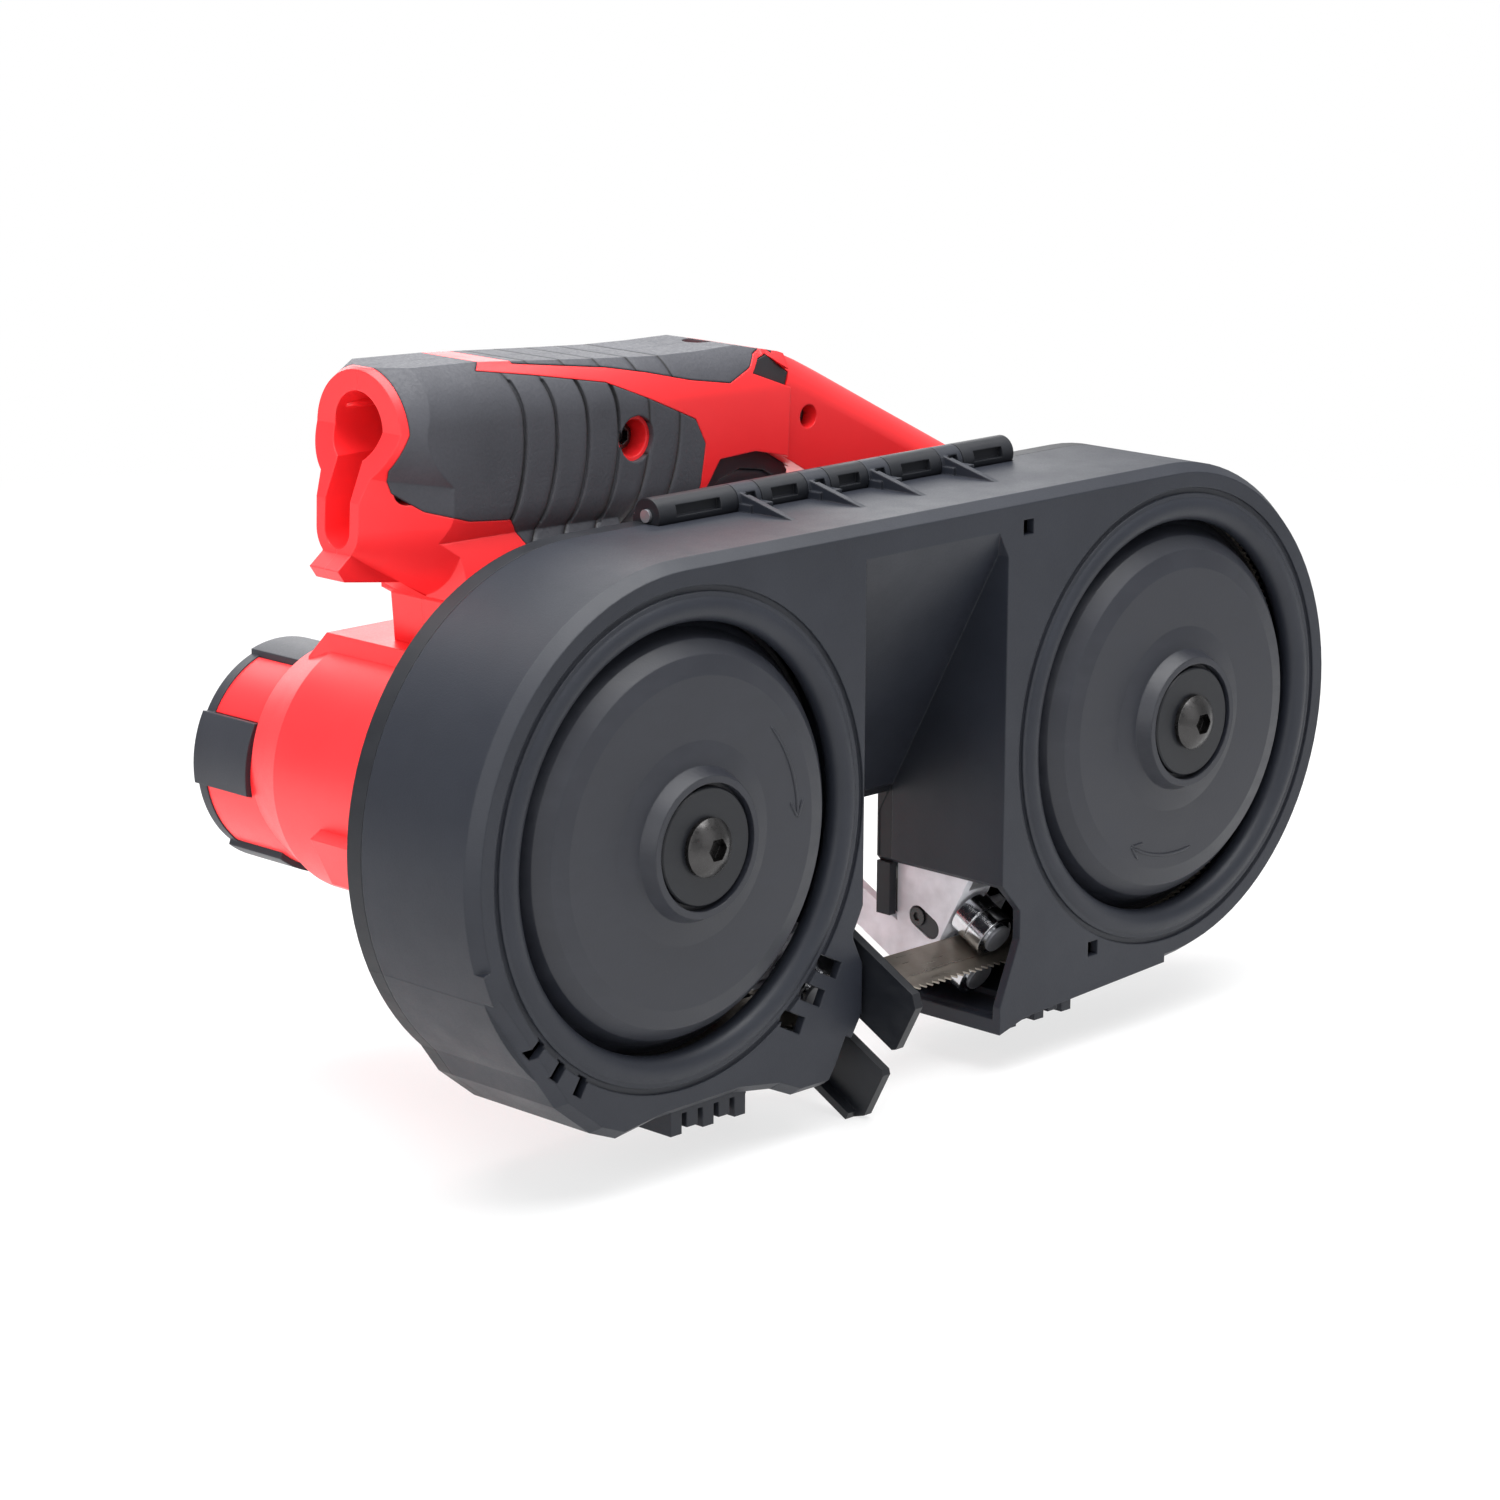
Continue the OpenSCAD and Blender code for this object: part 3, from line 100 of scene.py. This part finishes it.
def ring_faces(rows, columns, closed=False):
    """Quads over points that run row by row, each row a ring. A closed surface goes on from
    the last ring to the first, and any other has one face at either end."""
    a, b = np.meshgrid(np.arange(rows if closed else rows - 1), np.arange(columns), indexing="ij")
    a, b = a.ravel(), b.ravel()
    a2, b2 = (a + 1) % rows, (b + 1) % columns
    quads = [a * columns + b, a * columns + b2, a2 * columns + b2, a2 * columns + b]
    faces = np.stack(quads, 1).tolist()
    if not closed:
        faces += [list(range(columns))[::-1], list(range((rows - 1) * columns, rows * columns))]
    return faces


# ---------------------------------------------------------------- finishes


def start_finish(name, colour, roughness, metallic=0.0):
    """A material with a principled shader, its colour given as 0 to 255 display values."""
    finish = bpy.data.materials.new(name)
    finish.use_nodes = True
    tree = finish.node_tree
    shader = next(n for n in tree.nodes if n.type == "BSDF_PRINCIPLED")
    shader.inputs["Base Color"].default_value = (*linear(colour), 1)
    shader.inputs["Roughness"].default_value = roughness
    shader.inputs["Metallic"].default_value = metallic
    return finish, tree, shader


def linear(colour):
    """Display values from 0 to 255 to linear light."""
    c = np.asarray(colour, float) / 255
    return np.where(c <= 0.04045, c / 12.92, ((c + 0.055) / 1.055) ** 2.4).tolist()


def noise(tree, scale, detail=3.0, roughness=0.5, stretch=(1, 1, 1)):
    """Noise on Object coordinates, with scale in features per metre, and drawn out along an
    axis where stretch is below 1."""
    place = tree.nodes.new("ShaderNodeTexCoord")
    turn = tree.nodes.new("ShaderNodeMapping")
    turn.inputs["Scale"].default_value = stretch
    field = tree.nodes.new("ShaderNodeTexNoise")
    field.inputs["Scale"].default_value = scale
    field.inputs["Detail"].default_value = detail
    field.inputs["Roughness"].default_value = roughness
    tree.links.new(place.outputs["Object"], turn.inputs["Vector"])
    tree.links.new(turn.outputs["Vector"], field.inputs["Vector"])
    return field.outputs["Fac"]


def spread(tree, value, low, high, source_low=0.35, source_high=0.65):
    """Maps a field from source_low..source_high to low..high."""
    ramp = tree.nodes.new("ShaderNodeMapRange")
    ramp.inputs["From Min"].default_value = source_low
    ramp.inputs["From Max"].default_value = source_high
    ramp.inputs["To Min"].default_value = low
    ramp.inputs["To Max"].default_value = high
    tree.links.new(value, ramp.inputs["Value"])
    return ramp.outputs["Result"]


def shade_between(tree, shader, value, colour_a, colour_b):
    """Base colour from colour_a to colour_b as value runs from 0 to 1."""
    mix = tree.nodes.new("ShaderNodeMix")
    mix.data_type = "RGBA"
    mix.inputs["A"].default_value = (*linear(colour_a), 1)
    mix.inputs["B"].default_value = (*linear(colour_b), 1)
    tree.links.new(value, mix.inputs["Factor"])
    tree.links.new(mix.outputs["Result"], shader.inputs["Base Color"])
    return mix


def relief(tree, shader, heights, edge):
    """Normals from layers of (height field, depth in mm, strength), over edges that are
    rounded to a radius of edge mm."""
    normal = None
    if edge:
        soft = tree.nodes.new("ShaderNodeBevel")
        soft.samples = 4
        soft.inputs["Radius"].default_value = edge / 1000
        normal = soft.outputs["Normal"]
    for field, depth, strength in heights:
        bump = tree.nodes.new("ShaderNodeBump")
        bump.inputs["Strength"].default_value = strength
        bump.inputs["Distance"].default_value = depth / 1000
        tree.links.new(field, bump.inputs["Height"])
        if normal:
            tree.links.new(normal, bump.inputs["Normal"])
        normal = bump.outputs["Normal"]
    if normal:
        tree.links.new(normal, shader.inputs["Normal"])


def moulded_plastic(name, colour, worn, roughness, grain, edge=0.5, coat=0.0, sheen=0.5):
    """Spark-eroded plastic: a fine grain, slow changes of shade and gloss, and soft edges.
    The grain's depth and the edges' radius are in mm."""
    finish, tree, shader = start_finish(name, colour, roughness)
    cloud = noise(tree, 22, 4, 0.6)
    shade_between(tree, shader, spread(tree, cloud, 0, 1), colour, worn)
    speck = noise(tree, 2300, 2, 0.6)
    handling = noise(tree, 55, 5, 0.65)
    gloss = tree.nodes.new("ShaderNodeMath")
    gloss.operation = "ADD"
    tree.links.new(spread(tree, handling, roughness - 0.04, roughness + 0.04), gloss.inputs[0])
    tree.links.new(spread(tree, speck, -0.03, 0.03), gloss.inputs[1])
    tree.links.new(gloss.outputs[0], shader.inputs["Roughness"])
    relief(tree, shader, [(speck, grain, 0.5), (noise(tree, 140, 2), 0.08, 0.12)], edge)
    shader.inputs["Specular IOR Level"].default_value = sheen
    shader.inputs["Coat Weight"].default_value = coat
    shader.inputs["Coat Roughness"].default_value = 0.3
    return finish


def bare_steel(name, colour, roughness, brushed=(1, 1, 1), edge=0.2, depth=0.02, metallic=1.0):
    """Ground or brushed metal: fine scratches that are depth mm deep, and stretched along
    the axis where brushed is small."""
    finish, tree, shader = start_finish(name, colour, roughness, metallic)
    lines = noise(tree, 900, 4, 0.6, brushed)
    shade_between(tree, shader, spread(tree, noise(tree, 120, 4), 0, 1),
                  colour, [c * 0.88 for c in colour])
    tree.links.new(spread(tree, lines, roughness - 0.07, roughness + 0.09),
                   shader.inputs["Roughness"])
    relief(tree, shader, [(lines, depth, 0.35)], edge)
    return finish


def coated_metal(name, colour, worn, roughness, edge, grain, sheen):
    """Black coated metal: an orange-peel skin, a little sheen and faint rubbing marks. The
    skin's depth, grain, and the edges' radius are in mm."""
    finish, tree, shader = start_finish(name, colour, roughness)
    rubbing = noise(tree, 70, 6, 0.7, (1, 1, 2.5))
    shade_between(tree, shader, spread(tree, rubbing, 0, 1, 0.45, 0.75), colour, worn)
    skin = noise(tree, 1500, 3)
    tree.links.new(spread(tree, rubbing, roughness - 0.05, roughness + 0.07),
                   shader.inputs["Roughness"])
    relief(tree, shader, [(skin, grain, 0.4)], edge)
    shader.inputs["Specular IOR Level"].default_value = sheen
    return finish


def ribbed_rubber(name, colour, worn, painted_groove_shade):
    """Grained rubber whose bands swell between the solid's curved grooves. With x and z in
    mm, the band's number is (x + 32 - sqrt(40.5^2 - (z - 83)^2)) / 10.2, and a groove lies at
    each whole number from 0 to 5. The height is 1 - |2 fraction - 1|^7 across a band. The
    last colour is painted shade, mixed in deep in each groove."""
    groove_start, groove_radius, groove_mid, pitch, power = 32.0, 40.5, 83.0, 10.2, 7.0
    finish, tree, shader = start_finish(name, colour, 0.6)
    place = tree.nodes.new("ShaderNodeTexCoord")
    in_mm = tree.nodes.new("ShaderNodeMapping")
    in_mm.inputs["Scale"].default_value = (1000, 1000, 1000)
    in_mm.inputs["Location"].default_value = (-1000 * WHEEL_AXIS).tolist()
    tree.links.new(place.outputs["Object"], in_mm.inputs["Vector"])
    parts = tree.nodes.new("ShaderNodeSeparateXYZ")
    tree.links.new(in_mm.outputs["Vector"], parts.inputs["Vector"])

    def maths(operation, *values):
        node = tree.nodes.new("ShaderNodeMath")
        node.operation = operation
        for value, socket in zip(values, node.inputs):
            if isinstance(value, float):
                socket.default_value = value
            else:
                tree.links.new(value, socket)
        return node.outputs[0]

    rise = maths("SUBTRACT", parts.outputs["Z"], groove_mid)
    square = maths("SUBTRACT", groove_radius ** 2, maths("MULTIPLY", rise, rise))
    arc = maths("SQRT", maths("MAXIMUM", square, 1.0))
    along = maths("SUBTRACT", maths("ADD", parts.outputs["X"], groove_start), arc)
    band = maths("DIVIDE", along, pitch)
    from_mid = maths("SUBTRACT", maths("MULTIPLY", maths("FRACT", band), 2.0), 1.0)
    dip = maths("POWER", maths("ABSOLUTE", from_mid), power)
    ribbed = maths("MULTIPLY", spread(tree, band, 0, 1, -0.35, -0.3),
                   spread(tree, band, 1, 0, 5.3, 5.35))
    dip = maths("MULTIPLY", dip, ribbed)
    height = maths("SUBTRACT", 1.0, dip)

    cloud = spread(tree, noise(tree, 30, 4, 0.6), 0, 1)
    shade = shade_between(tree, shader, cloud, colour, worn)
    # painted shade: the colour darkens towards the last colour where a band dips into its groove
    groove = tree.nodes.new("ShaderNodeMix")
    groove.data_type = "RGBA"
    groove.inputs["B"].default_value = (*linear(painted_groove_shade), 1)
    tree.links.new(spread(tree, dip, 0, 1, 0.45, 0.8), groove.inputs["Factor"])
    tree.links.new(shade.outputs["Result"], groove.inputs["A"])
    tree.links.new(groove.outputs["Result"], shader.inputs["Base Color"])
    grain = noise(tree, 1100, 3, 0.6)
    tree.links.new(spread(tree, grain, 0.52, 0.68), shader.inputs["Roughness"])
    dents = noise(tree, 260, 3)
    relief(tree, shader, [(height, 0.9, 0.8), (grain, 0.16, 0.7), (dents, 0.15, 0.25)], 0.7)
    return finish


cover_plastic = moulded_plastic("cover_plastic", (28, 31, 39), (34, 37, 45), 0.46,
                                grain=0.06, edge=0.6, sheen=0.34)
cap_plastic = moulded_plastic("cap_plastic", (38, 40, 47), (44, 46, 53), 0.46,
                              grain=0.06, edge=0.6, sheen=0.45)
housing_red = moulded_plastic("housing_red", (246, 42, 47), (240, 37, 42), 0.4,
                              grain=0.03, coat=0.1)
black_plastic = moulded_plastic("black_plastic", (30, 30, 34), (38, 38, 42), 0.42, grain=0.04)
# the trigger is black plastic; this grey is painted light, standing in for the light and
# highlight on its side
trigger_plastic_painted_light = moulded_plastic("trigger_plastic_painted_light", (70, 68, 75), (78, 76, 83), 0.4,
                                  grain=0.04, edge=0.6)
tyre_rubber = moulded_plastic("tyre_rubber", (16, 16, 18), (24, 24, 26), 0.8,
                              grain=0.08, edge=0.2, sheen=0.2)
# (20, 20, 23) is painted shade for the grip's grooves
grip_rubber = ribbed_rubber("grip_rubber", (56, 57, 63), (66, 67, 73), (20, 20, 23))
frame_black = coated_metal("frame_black", (24, 26, 31), (31, 33, 38), 0.46,
                           edge=0.4, grain=0.03, sheen=0.32)
wheel_black = coated_metal("wheel_black", (33, 35, 42), (39, 41, 48), 0.4,
                           edge=0.5, grain=0.06, sheen=0.4)
washer_black = coated_metal("washer_black", (19, 21, 26), (27, 29, 33), 0.38,
                            edge=0.25, grain=0.03, sheen=0.33)
bolt_steel = bare_steel("bolt_steel", (76, 75, 75), 0.3)
# light grey satin steel painted near-white with little metal: the extra brightness is a painted
# reflection of the bright surroundings
bracket_steel = bare_steel("bracket_steel", (236, 236, 242), 0.4, (0.06, 1, 1),
                           edge=0.25, metallic=0.1)
zinc_steel = bare_steel("zinc_steel", (140, 141, 146), 0.35, metallic=0.5)
bearing_steel = bare_steel("bearing_steel", (224, 225, 228), 0.14, edge=0.3, depth=0.005)
blade_steel = bare_steel("blade_steel", (158, 150, 140), 0.34, (0.04, 1, 1),
                         edge=0.0, metallic=0.85)
gear_steel = bare_steel("gear_steel", (150, 146, 138), 0.4)
copper_red = bare_steel("copper_red", (184, 116, 76), 0.35)

FINISHES = {
    cover_plastic: ["front_cover"],
    frame_black: ["rear_frame"],
    wheel_black: ["drive_wheel", "idler_wheel"],
    washer_black: ["drive_washer", "idler_washer", "work_stop"],
    tyre_rubber: ["drive_tyre", "idler_tyre"],
    housing_red: ["motor_housing", "handle_front_shell", "handle_rear_shell"],
    grip_rubber: ["grip_rubber_front", "grip_rubber_rear"],
    black_plastic: ["tension_lever", "battery_contacts", "trigger_switch", "lock_off_slide"],
    trigger_plastic_painted_light: ["trigger"],
    cap_plastic: ["motor_end_cap"],
    bolt_steel: ["drive_bolt", "idler_bolt", "guide_screws"],
    bracket_steel: ["guide_bracket_left", "guide_bracket_right", "gear_case", "gear_case_cover"],
    zinc_steel: ["hinge_pin", "drive_shaft", "idler_axle", "idler_slide", "tension_spring",
                 "guide_pins", "motor_can"],
    bearing_steel: ["drive_bearings", "idler_bearings", "roller_upper_left",
                    "roller_lower_left", "roller_upper_right", "roller_lower_right",
                    "backup_bearing_left", "backup_bearing_right"],
    blade_steel: ["blade"],
    gear_steel: ["planet_gear_a", "planet_gear_b", "planet_gear_c"],
    copper_red: ["motor_rotor"],
}
for finish, names in FINISHES.items():
    for name in names:
        nodes[name].data.materials.clear()
        nodes[name].data.materials.append(finish)

# ---------------------------------------------------------------- moulded details


def ridge(name, path, out, width, height, body, finish):
    """A bead on a surface: half an ellipse, width across and height along out, carried
    along a path of (n, 3) points in mm, sunk a little into what carries it, and narrowed
    to half its size over a twelfth of its length at both ends."""
    sink, end_size, taper, columns = 0.08, 0.5, 12, 9
    path = np.asarray(path, float)
    out = np.broadcast_to(np.asarray(out, float), path.shape)
    side = np.cross(np.gradient(path, axis=0), out)
    side /= np.linalg.norm(side, axis=1, keepdims=True)
    travel = np.linspace(0, 1, len(path))
    size = end_size + (1 - end_size) * np.clip(np.minimum(travel, 1 - travel) * taper, 0, 1)
    turn = np.linspace(0, np.pi, columns)
    across = np.outer(size, np.cos(turn))[..., None] * width / 2
    up = np.outer(size, np.sin(turn))[..., None] * height - sink
    points = path[:, None] + side[:, None] * across + out[:, None] * up
    faces = ring_faces(len(path), columns)
    return lay_mesh(name, points.reshape(-1, 3), faces, body, finish)


def turn_arrow(name, centre_x, radius, start, end, body):
    """The generic turning arrow on a wheel: an arc from start to end degrees about the
    wheel's axis, and two barbs that run back from its end, to both sides of it."""
    width, barb_width, height, barb_length, barb_angle = 0.95, 0.9, 0.4, 4.6, 28
    forward = (0, -1, 0)
    angle = np.radians(np.linspace(start, end, 30))
    arc = np.stack([centre_x + radius * np.cos(angle), np.full(30, WEB_FRONT),
                    radius * np.sin(angle)], 1)
    ridge(name + "_arc", arc, forward, width, height, body, wheel_black)
    tip = arc[-1]
    back = arc[-6] - tip
    back /= np.linalg.norm(back)
    for k, tilt in enumerate((barb_angle, -barb_angle)):
        c, s = np.cos(np.radians(tilt)), np.sin(np.radians(tilt))
        way = np.array([back[0] * c - back[2] * s, 0, back[0] * s + back[2] * c])
        barb = tip + np.outer(np.linspace(0, barb_length, 8), way)
        ridge("%s_barb_%d" % (name, k), barb, forward, barb_width, height, body, wheel_black)


def socket_screw(name, place, radius, body, finish):
    """A pan head that faces -y with a six-sided socket: rings about the axis, whose reach is
    a share r of the radius, or in the socket r / cos(angle from the nearest flat's middle)."""
    columns = 48
    turn = np.linspace(0, 2 * np.pi, columns, endpoint=False)
    from_flat = (turn + np.pi / 6) % (np.pi / 3) - np.pi / 6
    # share of the radius, how far it stands out as a share of the radius, and if six-sided
    rings = [(1.0, 0.0, False), (1.0, 0.42, False), (0.9, 0.62, False), (0.62, 0.72, False),
             (0.5, 0.72, True), (0.47, 0.66, True), (0.47, 0.2, True), (0.05, 0.16, True)]
    points = []
    for share, lift, six_sided in rings:
        reach = radius * share / (np.cos(from_flat) if six_sided else 1)
        points.append(np.stack([place[0] + reach * np.cos(turn),
                                np.full(columns, place[1] - radius * lift),
                                place[2] + reach * np.sin(turn)], 1))
    faces = ring_faces(len(rings), columns)
    return lay_mesh(name, np.concatenate(points), faces, body, finish, smooth=False)


def clamp_slot_plate_and_shade():
    """A thin black sheet in the bracket's oblong recess, which stands for the dark plate seen
    through the slot and for painted shade in the recess: its outline is two half circles and
    the flats between them, with a round hole for the clamp screw. It is laid out as v along
    the tilted bracket and n across it, and turned by the blade's tilt."""
    columns = 64
    near, far, middle = 12.4, 17.4, -1.7
    outline_radius, hole_radius = 2.72, 2.45
    face_x, back_x = 113.3, 113.98
    turn = np.linspace(0, 2 * np.pi, columns, endpoint=False)
    v = np.where(np.cos(turn) >= 0, far, near) + outline_radius * np.cos(turn)
    n = middle + outline_radius * np.sin(turn)
    about = np.arctan2(n - middle, v - far)
    hole_v, hole_n = far + hole_radius * np.cos(about), middle + hole_radius * np.sin(about)
    c, s = np.cos(np.radians(CUT_TILT)), np.sin(np.radians(CUT_TILT))
    points = []
    for x, a, b in ((back_x, v, n), (face_x, v, n), (face_x, hole_v, hole_n),
                    (back_x, hole_v, hole_n)):
        points.append(np.stack([np.full(columns, x), CUT_LINE[0] + a * c - b * s,
                                CUT_LINE[1] + a * s + b * c], 1))
    faces = ring_faces(4, columns, closed=True)
    return lay_mesh("clamp_slot_plate_and_shade", np.concatenate(points), faces, "frame", black_plastic,
                    smooth=False)


def trigger_face():
    """The trigger's finger face, which fills its side arch but for a small step. Each
    section across y is a superellipse of power 4, from the underside's curve
    60 + 0.8 sin(pi s) up to 0.6 mm over the arch, s running from end to end."""
    rows, columns, half_width = 26, 44, 8.9
    arch_x, arch_z = (72, 76, 81, 88, 97, 104), (59.6, 60.5, 64.5, 66.5, 65, 61)
    s = np.linspace(0, 1, rows)[:, None]
    x = 74.5 + 29.2 * s
    top = np.interp(x, arch_x, arch_z) + 0.6
    underside = 60 + 0.8 * np.sin(np.pi * s)
    turn = np.linspace(0, 2 * np.pi, columns, endpoint=False)[None]
    across = np.sign(np.cos(turn)) * np.sqrt(np.abs(np.cos(turn)))
    up = np.sign(np.sin(turn)) * np.sqrt(np.abs(np.sin(turn)))
    y = HANDLE_MID + half_width * across
    z = (top + underside) / 2 + (top - underside) / 2 * up
    points = np.stack(np.broadcast_arrays(x, y, z), 2).reshape(-1, 3)
    return lay_mesh("trigger_face", points, ring_faces(rows, columns), "trigger_body",
                    trigger_plastic_painted_light)


def socket_ribs():
    """Two guide ribs along the battery socket's round top, 28 degrees above its middle."""
    inner_radius, tilt = 8.4, 28
    along = np.outer(np.linspace(-25, 19, 12), (1, 0, 0))
    for k, turned in enumerate((tilt, 180 - tilt)):
        inward = np.array([0, -np.cos(np.radians(turned)), -np.sin(np.radians(turned))])
        rib = np.array([0, HANDLE_MID, SOCKET_MID]) - inward * inner_radius + along
        ridge("socket_rib_%d" % k, rib, inward, 2.0, 1.1, "frame", housing_red)


# the screws in the handle's recesses: place of the head's foot, and radius
HANDLE_SCREWS = [((45, HANDLE_SIDE, 80), 3.6), ((-24, 72, 75), 2.6),
                 ((107, HANDLE_SIDE, 78), 2.6), ((150, HANDLE_SIDE, 56), 2.6)]

turn_arrow("drive_arrow", 0, 34.2, 43, 0, "drive_unit")
turn_arrow("idler_arrow", WHEEL_GAP, 35.4, -80, -120, "idler_unit")
for k, (place, radius) in enumerate(HANDLE_SCREWS):
    socket_screw("handle_screw_%d" % k, place, radius, "frame", bolt_steel)
clamp_slot_plate_and_shade()
trigger_face()
socket_ribs()

# ---------------------------------------------------------------- studio


def seen_directly(tree, mirrored):
    """1 for rays from the camera, the share `mirrored` for those in mirrors, and 0 for
    light on the object."""
    path = tree.nodes.new("ShaderNodeLightPath")
    share = tree.nodes.new("ShaderNodeMath")
    share.operation = "MULTIPLY"
    share.inputs[1].default_value = mirrored
    tree.links.new(path.outputs["Is Glossy Ray"], share.inputs[0])
    either = tree.nodes.new("ShaderNodeMath")
    either.operation = "MAXIMUM"
    tree.links.new(path.outputs["Is Camera Ray"], either.inputs[0])
    tree.links.new(share.outputs[0], either.inputs[1])
    return either.outputs[0]


def show_instead(tree, out, lit, plain, share):
    """Sends the surface lit to the output, and plain over it by the given share."""
    mix = tree.nodes.new("ShaderNodeMixShader")
    tree.links.new(share, mix.inputs["Fac"])
    tree.links.new(lit.outputs[0], mix.inputs[1])
    tree.links.new(plain.outputs[0], mix.inputs[2])
    tree.links.new(mix.outputs[0], out.inputs["Surface"])


def studio_world():
    """White to the camera, half as bright in mirrors, and a soft grey dome as light."""
    world = bpy.data.worlds.new("studio")
    bpy.context.scene.world = world
    world.use_nodes = True
    tree = world.node_tree
    tree.nodes.clear()
    out = tree.nodes.new("ShaderNodeOutputWorld")
    dome = tree.nodes.new("ShaderNodeBackground")
    dome.inputs["Color"].default_value = (0.9, 0.94, 1.0, 1)
    dome.inputs["Strength"].default_value = 0.2
    white = tree.nodes.new("ShaderNodeBackground")
    white.inputs["Color"].default_value = (1, 1, 1, 1)
    white.inputs["Strength"].default_value = 1.0
    show_instead(tree, out, dome, white, seen_directly(tree, 0.45))


def soft_box(name, place, aim, size, watts):
    """A rectangular white lamp at a place that looks at aim, both in mm. Its size is in
    metres."""
    lamp = bpy.data.lights.new(name, "AREA")
    lamp.shape = "RECTANGLE"
    lamp.size, lamp.size_y = size
    lamp.energy = watts
    holder = bpy.data.objects.new(name, lamp)
    bpy.context.scene.collection.objects.link(holder)
    spot, target = Vector(in_row(place)), Vector(in_row(aim))
    holder.location = spot
    holder.rotation_euler = (target - spot).to_track_quat("-Z", "Y").to_euler()


def studio_floor():
    """A round pale floor under the object. It shows its own light, and so the object's
    soft shadow, near the middle, and turns to plain white towards its rim."""
    radius, fade_start, fade_end, corners = 1.2, 0.3, 0.85, 96
    finish, tree, shader = start_finish("floor_white", (250, 250, 250), 0.9)
    shader.inputs["Specular IOR Level"].default_value = 0.1
    out = next(n for n in tree.nodes if n.type == "OUTPUT_MATERIAL")
    glow = tree.nodes.new("ShaderNodeEmission")
    glow.inputs["Color"].default_value = (1, 1, 1, 1)
    place = tree.nodes.new("ShaderNodeTexCoord")
    reach = tree.nodes.new("ShaderNodeVectorMath")
    reach.operation = "LENGTH"
    tree.links.new(place.outputs["Object"], reach.inputs[0])
    share = tree.nodes.new("ShaderNodeMath")
    share.operation = "MULTIPLY"
    tree.links.new(seen_directly(tree, 1.0), share.inputs[0])
    tree.links.new(spread(tree, reach.outputs["Value"], 0.7, 1.0, fade_start, fade_end),
                   share.inputs[1])
    show_instead(tree, out, shader, glow, share.outputs[0])
    turn = np.linspace(0, 2 * np.pi, corners, endpoint=False)
    rim = np.stack([radius * np.cos(turn), radius * np.sin(turn),
                    np.full(corners, cad_box[0][2])], 1)
    mesh = bpy.data.meshes.new("floor")
    mesh.from_pydata(rim.tolist(), [], [tuple(range(corners))])
    mesh.materials.append(finish)
    floor = bpy.data.objects.new("floor", mesh)
    bpy.context.scene.collection.objects.link(floor)


def studio_camera():
    """The photograph's camera, fitted to both wheels, the hinge line and the cover's edges:
    its axes as unit vectors, and its place in mm."""
    right = (0.69947, -0.71464, 0.00515)
    up = (0.16791, 0.17133, 0.97080)
    back = (-0.69466, -0.67818, 0.23984)
    place = (-681.4, -685.4, 260.4)
    lens = bpy.data.cameras.new("camera")
    lens.sensor_width = 36
    lens.lens = 105.16
    lens.clip_start = 0.01
    lens.clip_end = 60
    camera = bpy.data.objects.new("camera", lens)
    bpy.context.scene.collection.objects.link(camera)
    turn = Matrix((right, up, back)).transposed().to_4x4()
    camera.matrix_world = Matrix.Translation(in_row(place)) @ turn
    bpy.context.scene.camera = camera


studio_world()
studio_floor()
studio_camera()
soft_box("top_light", (40, 0, 900), (87, 60, 0), (1.3, 1.0), 25)
soft_box("left_light", (-1000, -350, 420), (60, 40, 20), (1.0, 1.0), 7)
soft_box("front_light", (250, -1150, 420), (87, 0, 10), (1.0, 0.9), 2.2)
soft_box("rear_light", (500, 900, 500), (87, 60, 20), (1.0, 0.8), 6)

bpy.context.scene.view_settings.view_transform = "Standard"
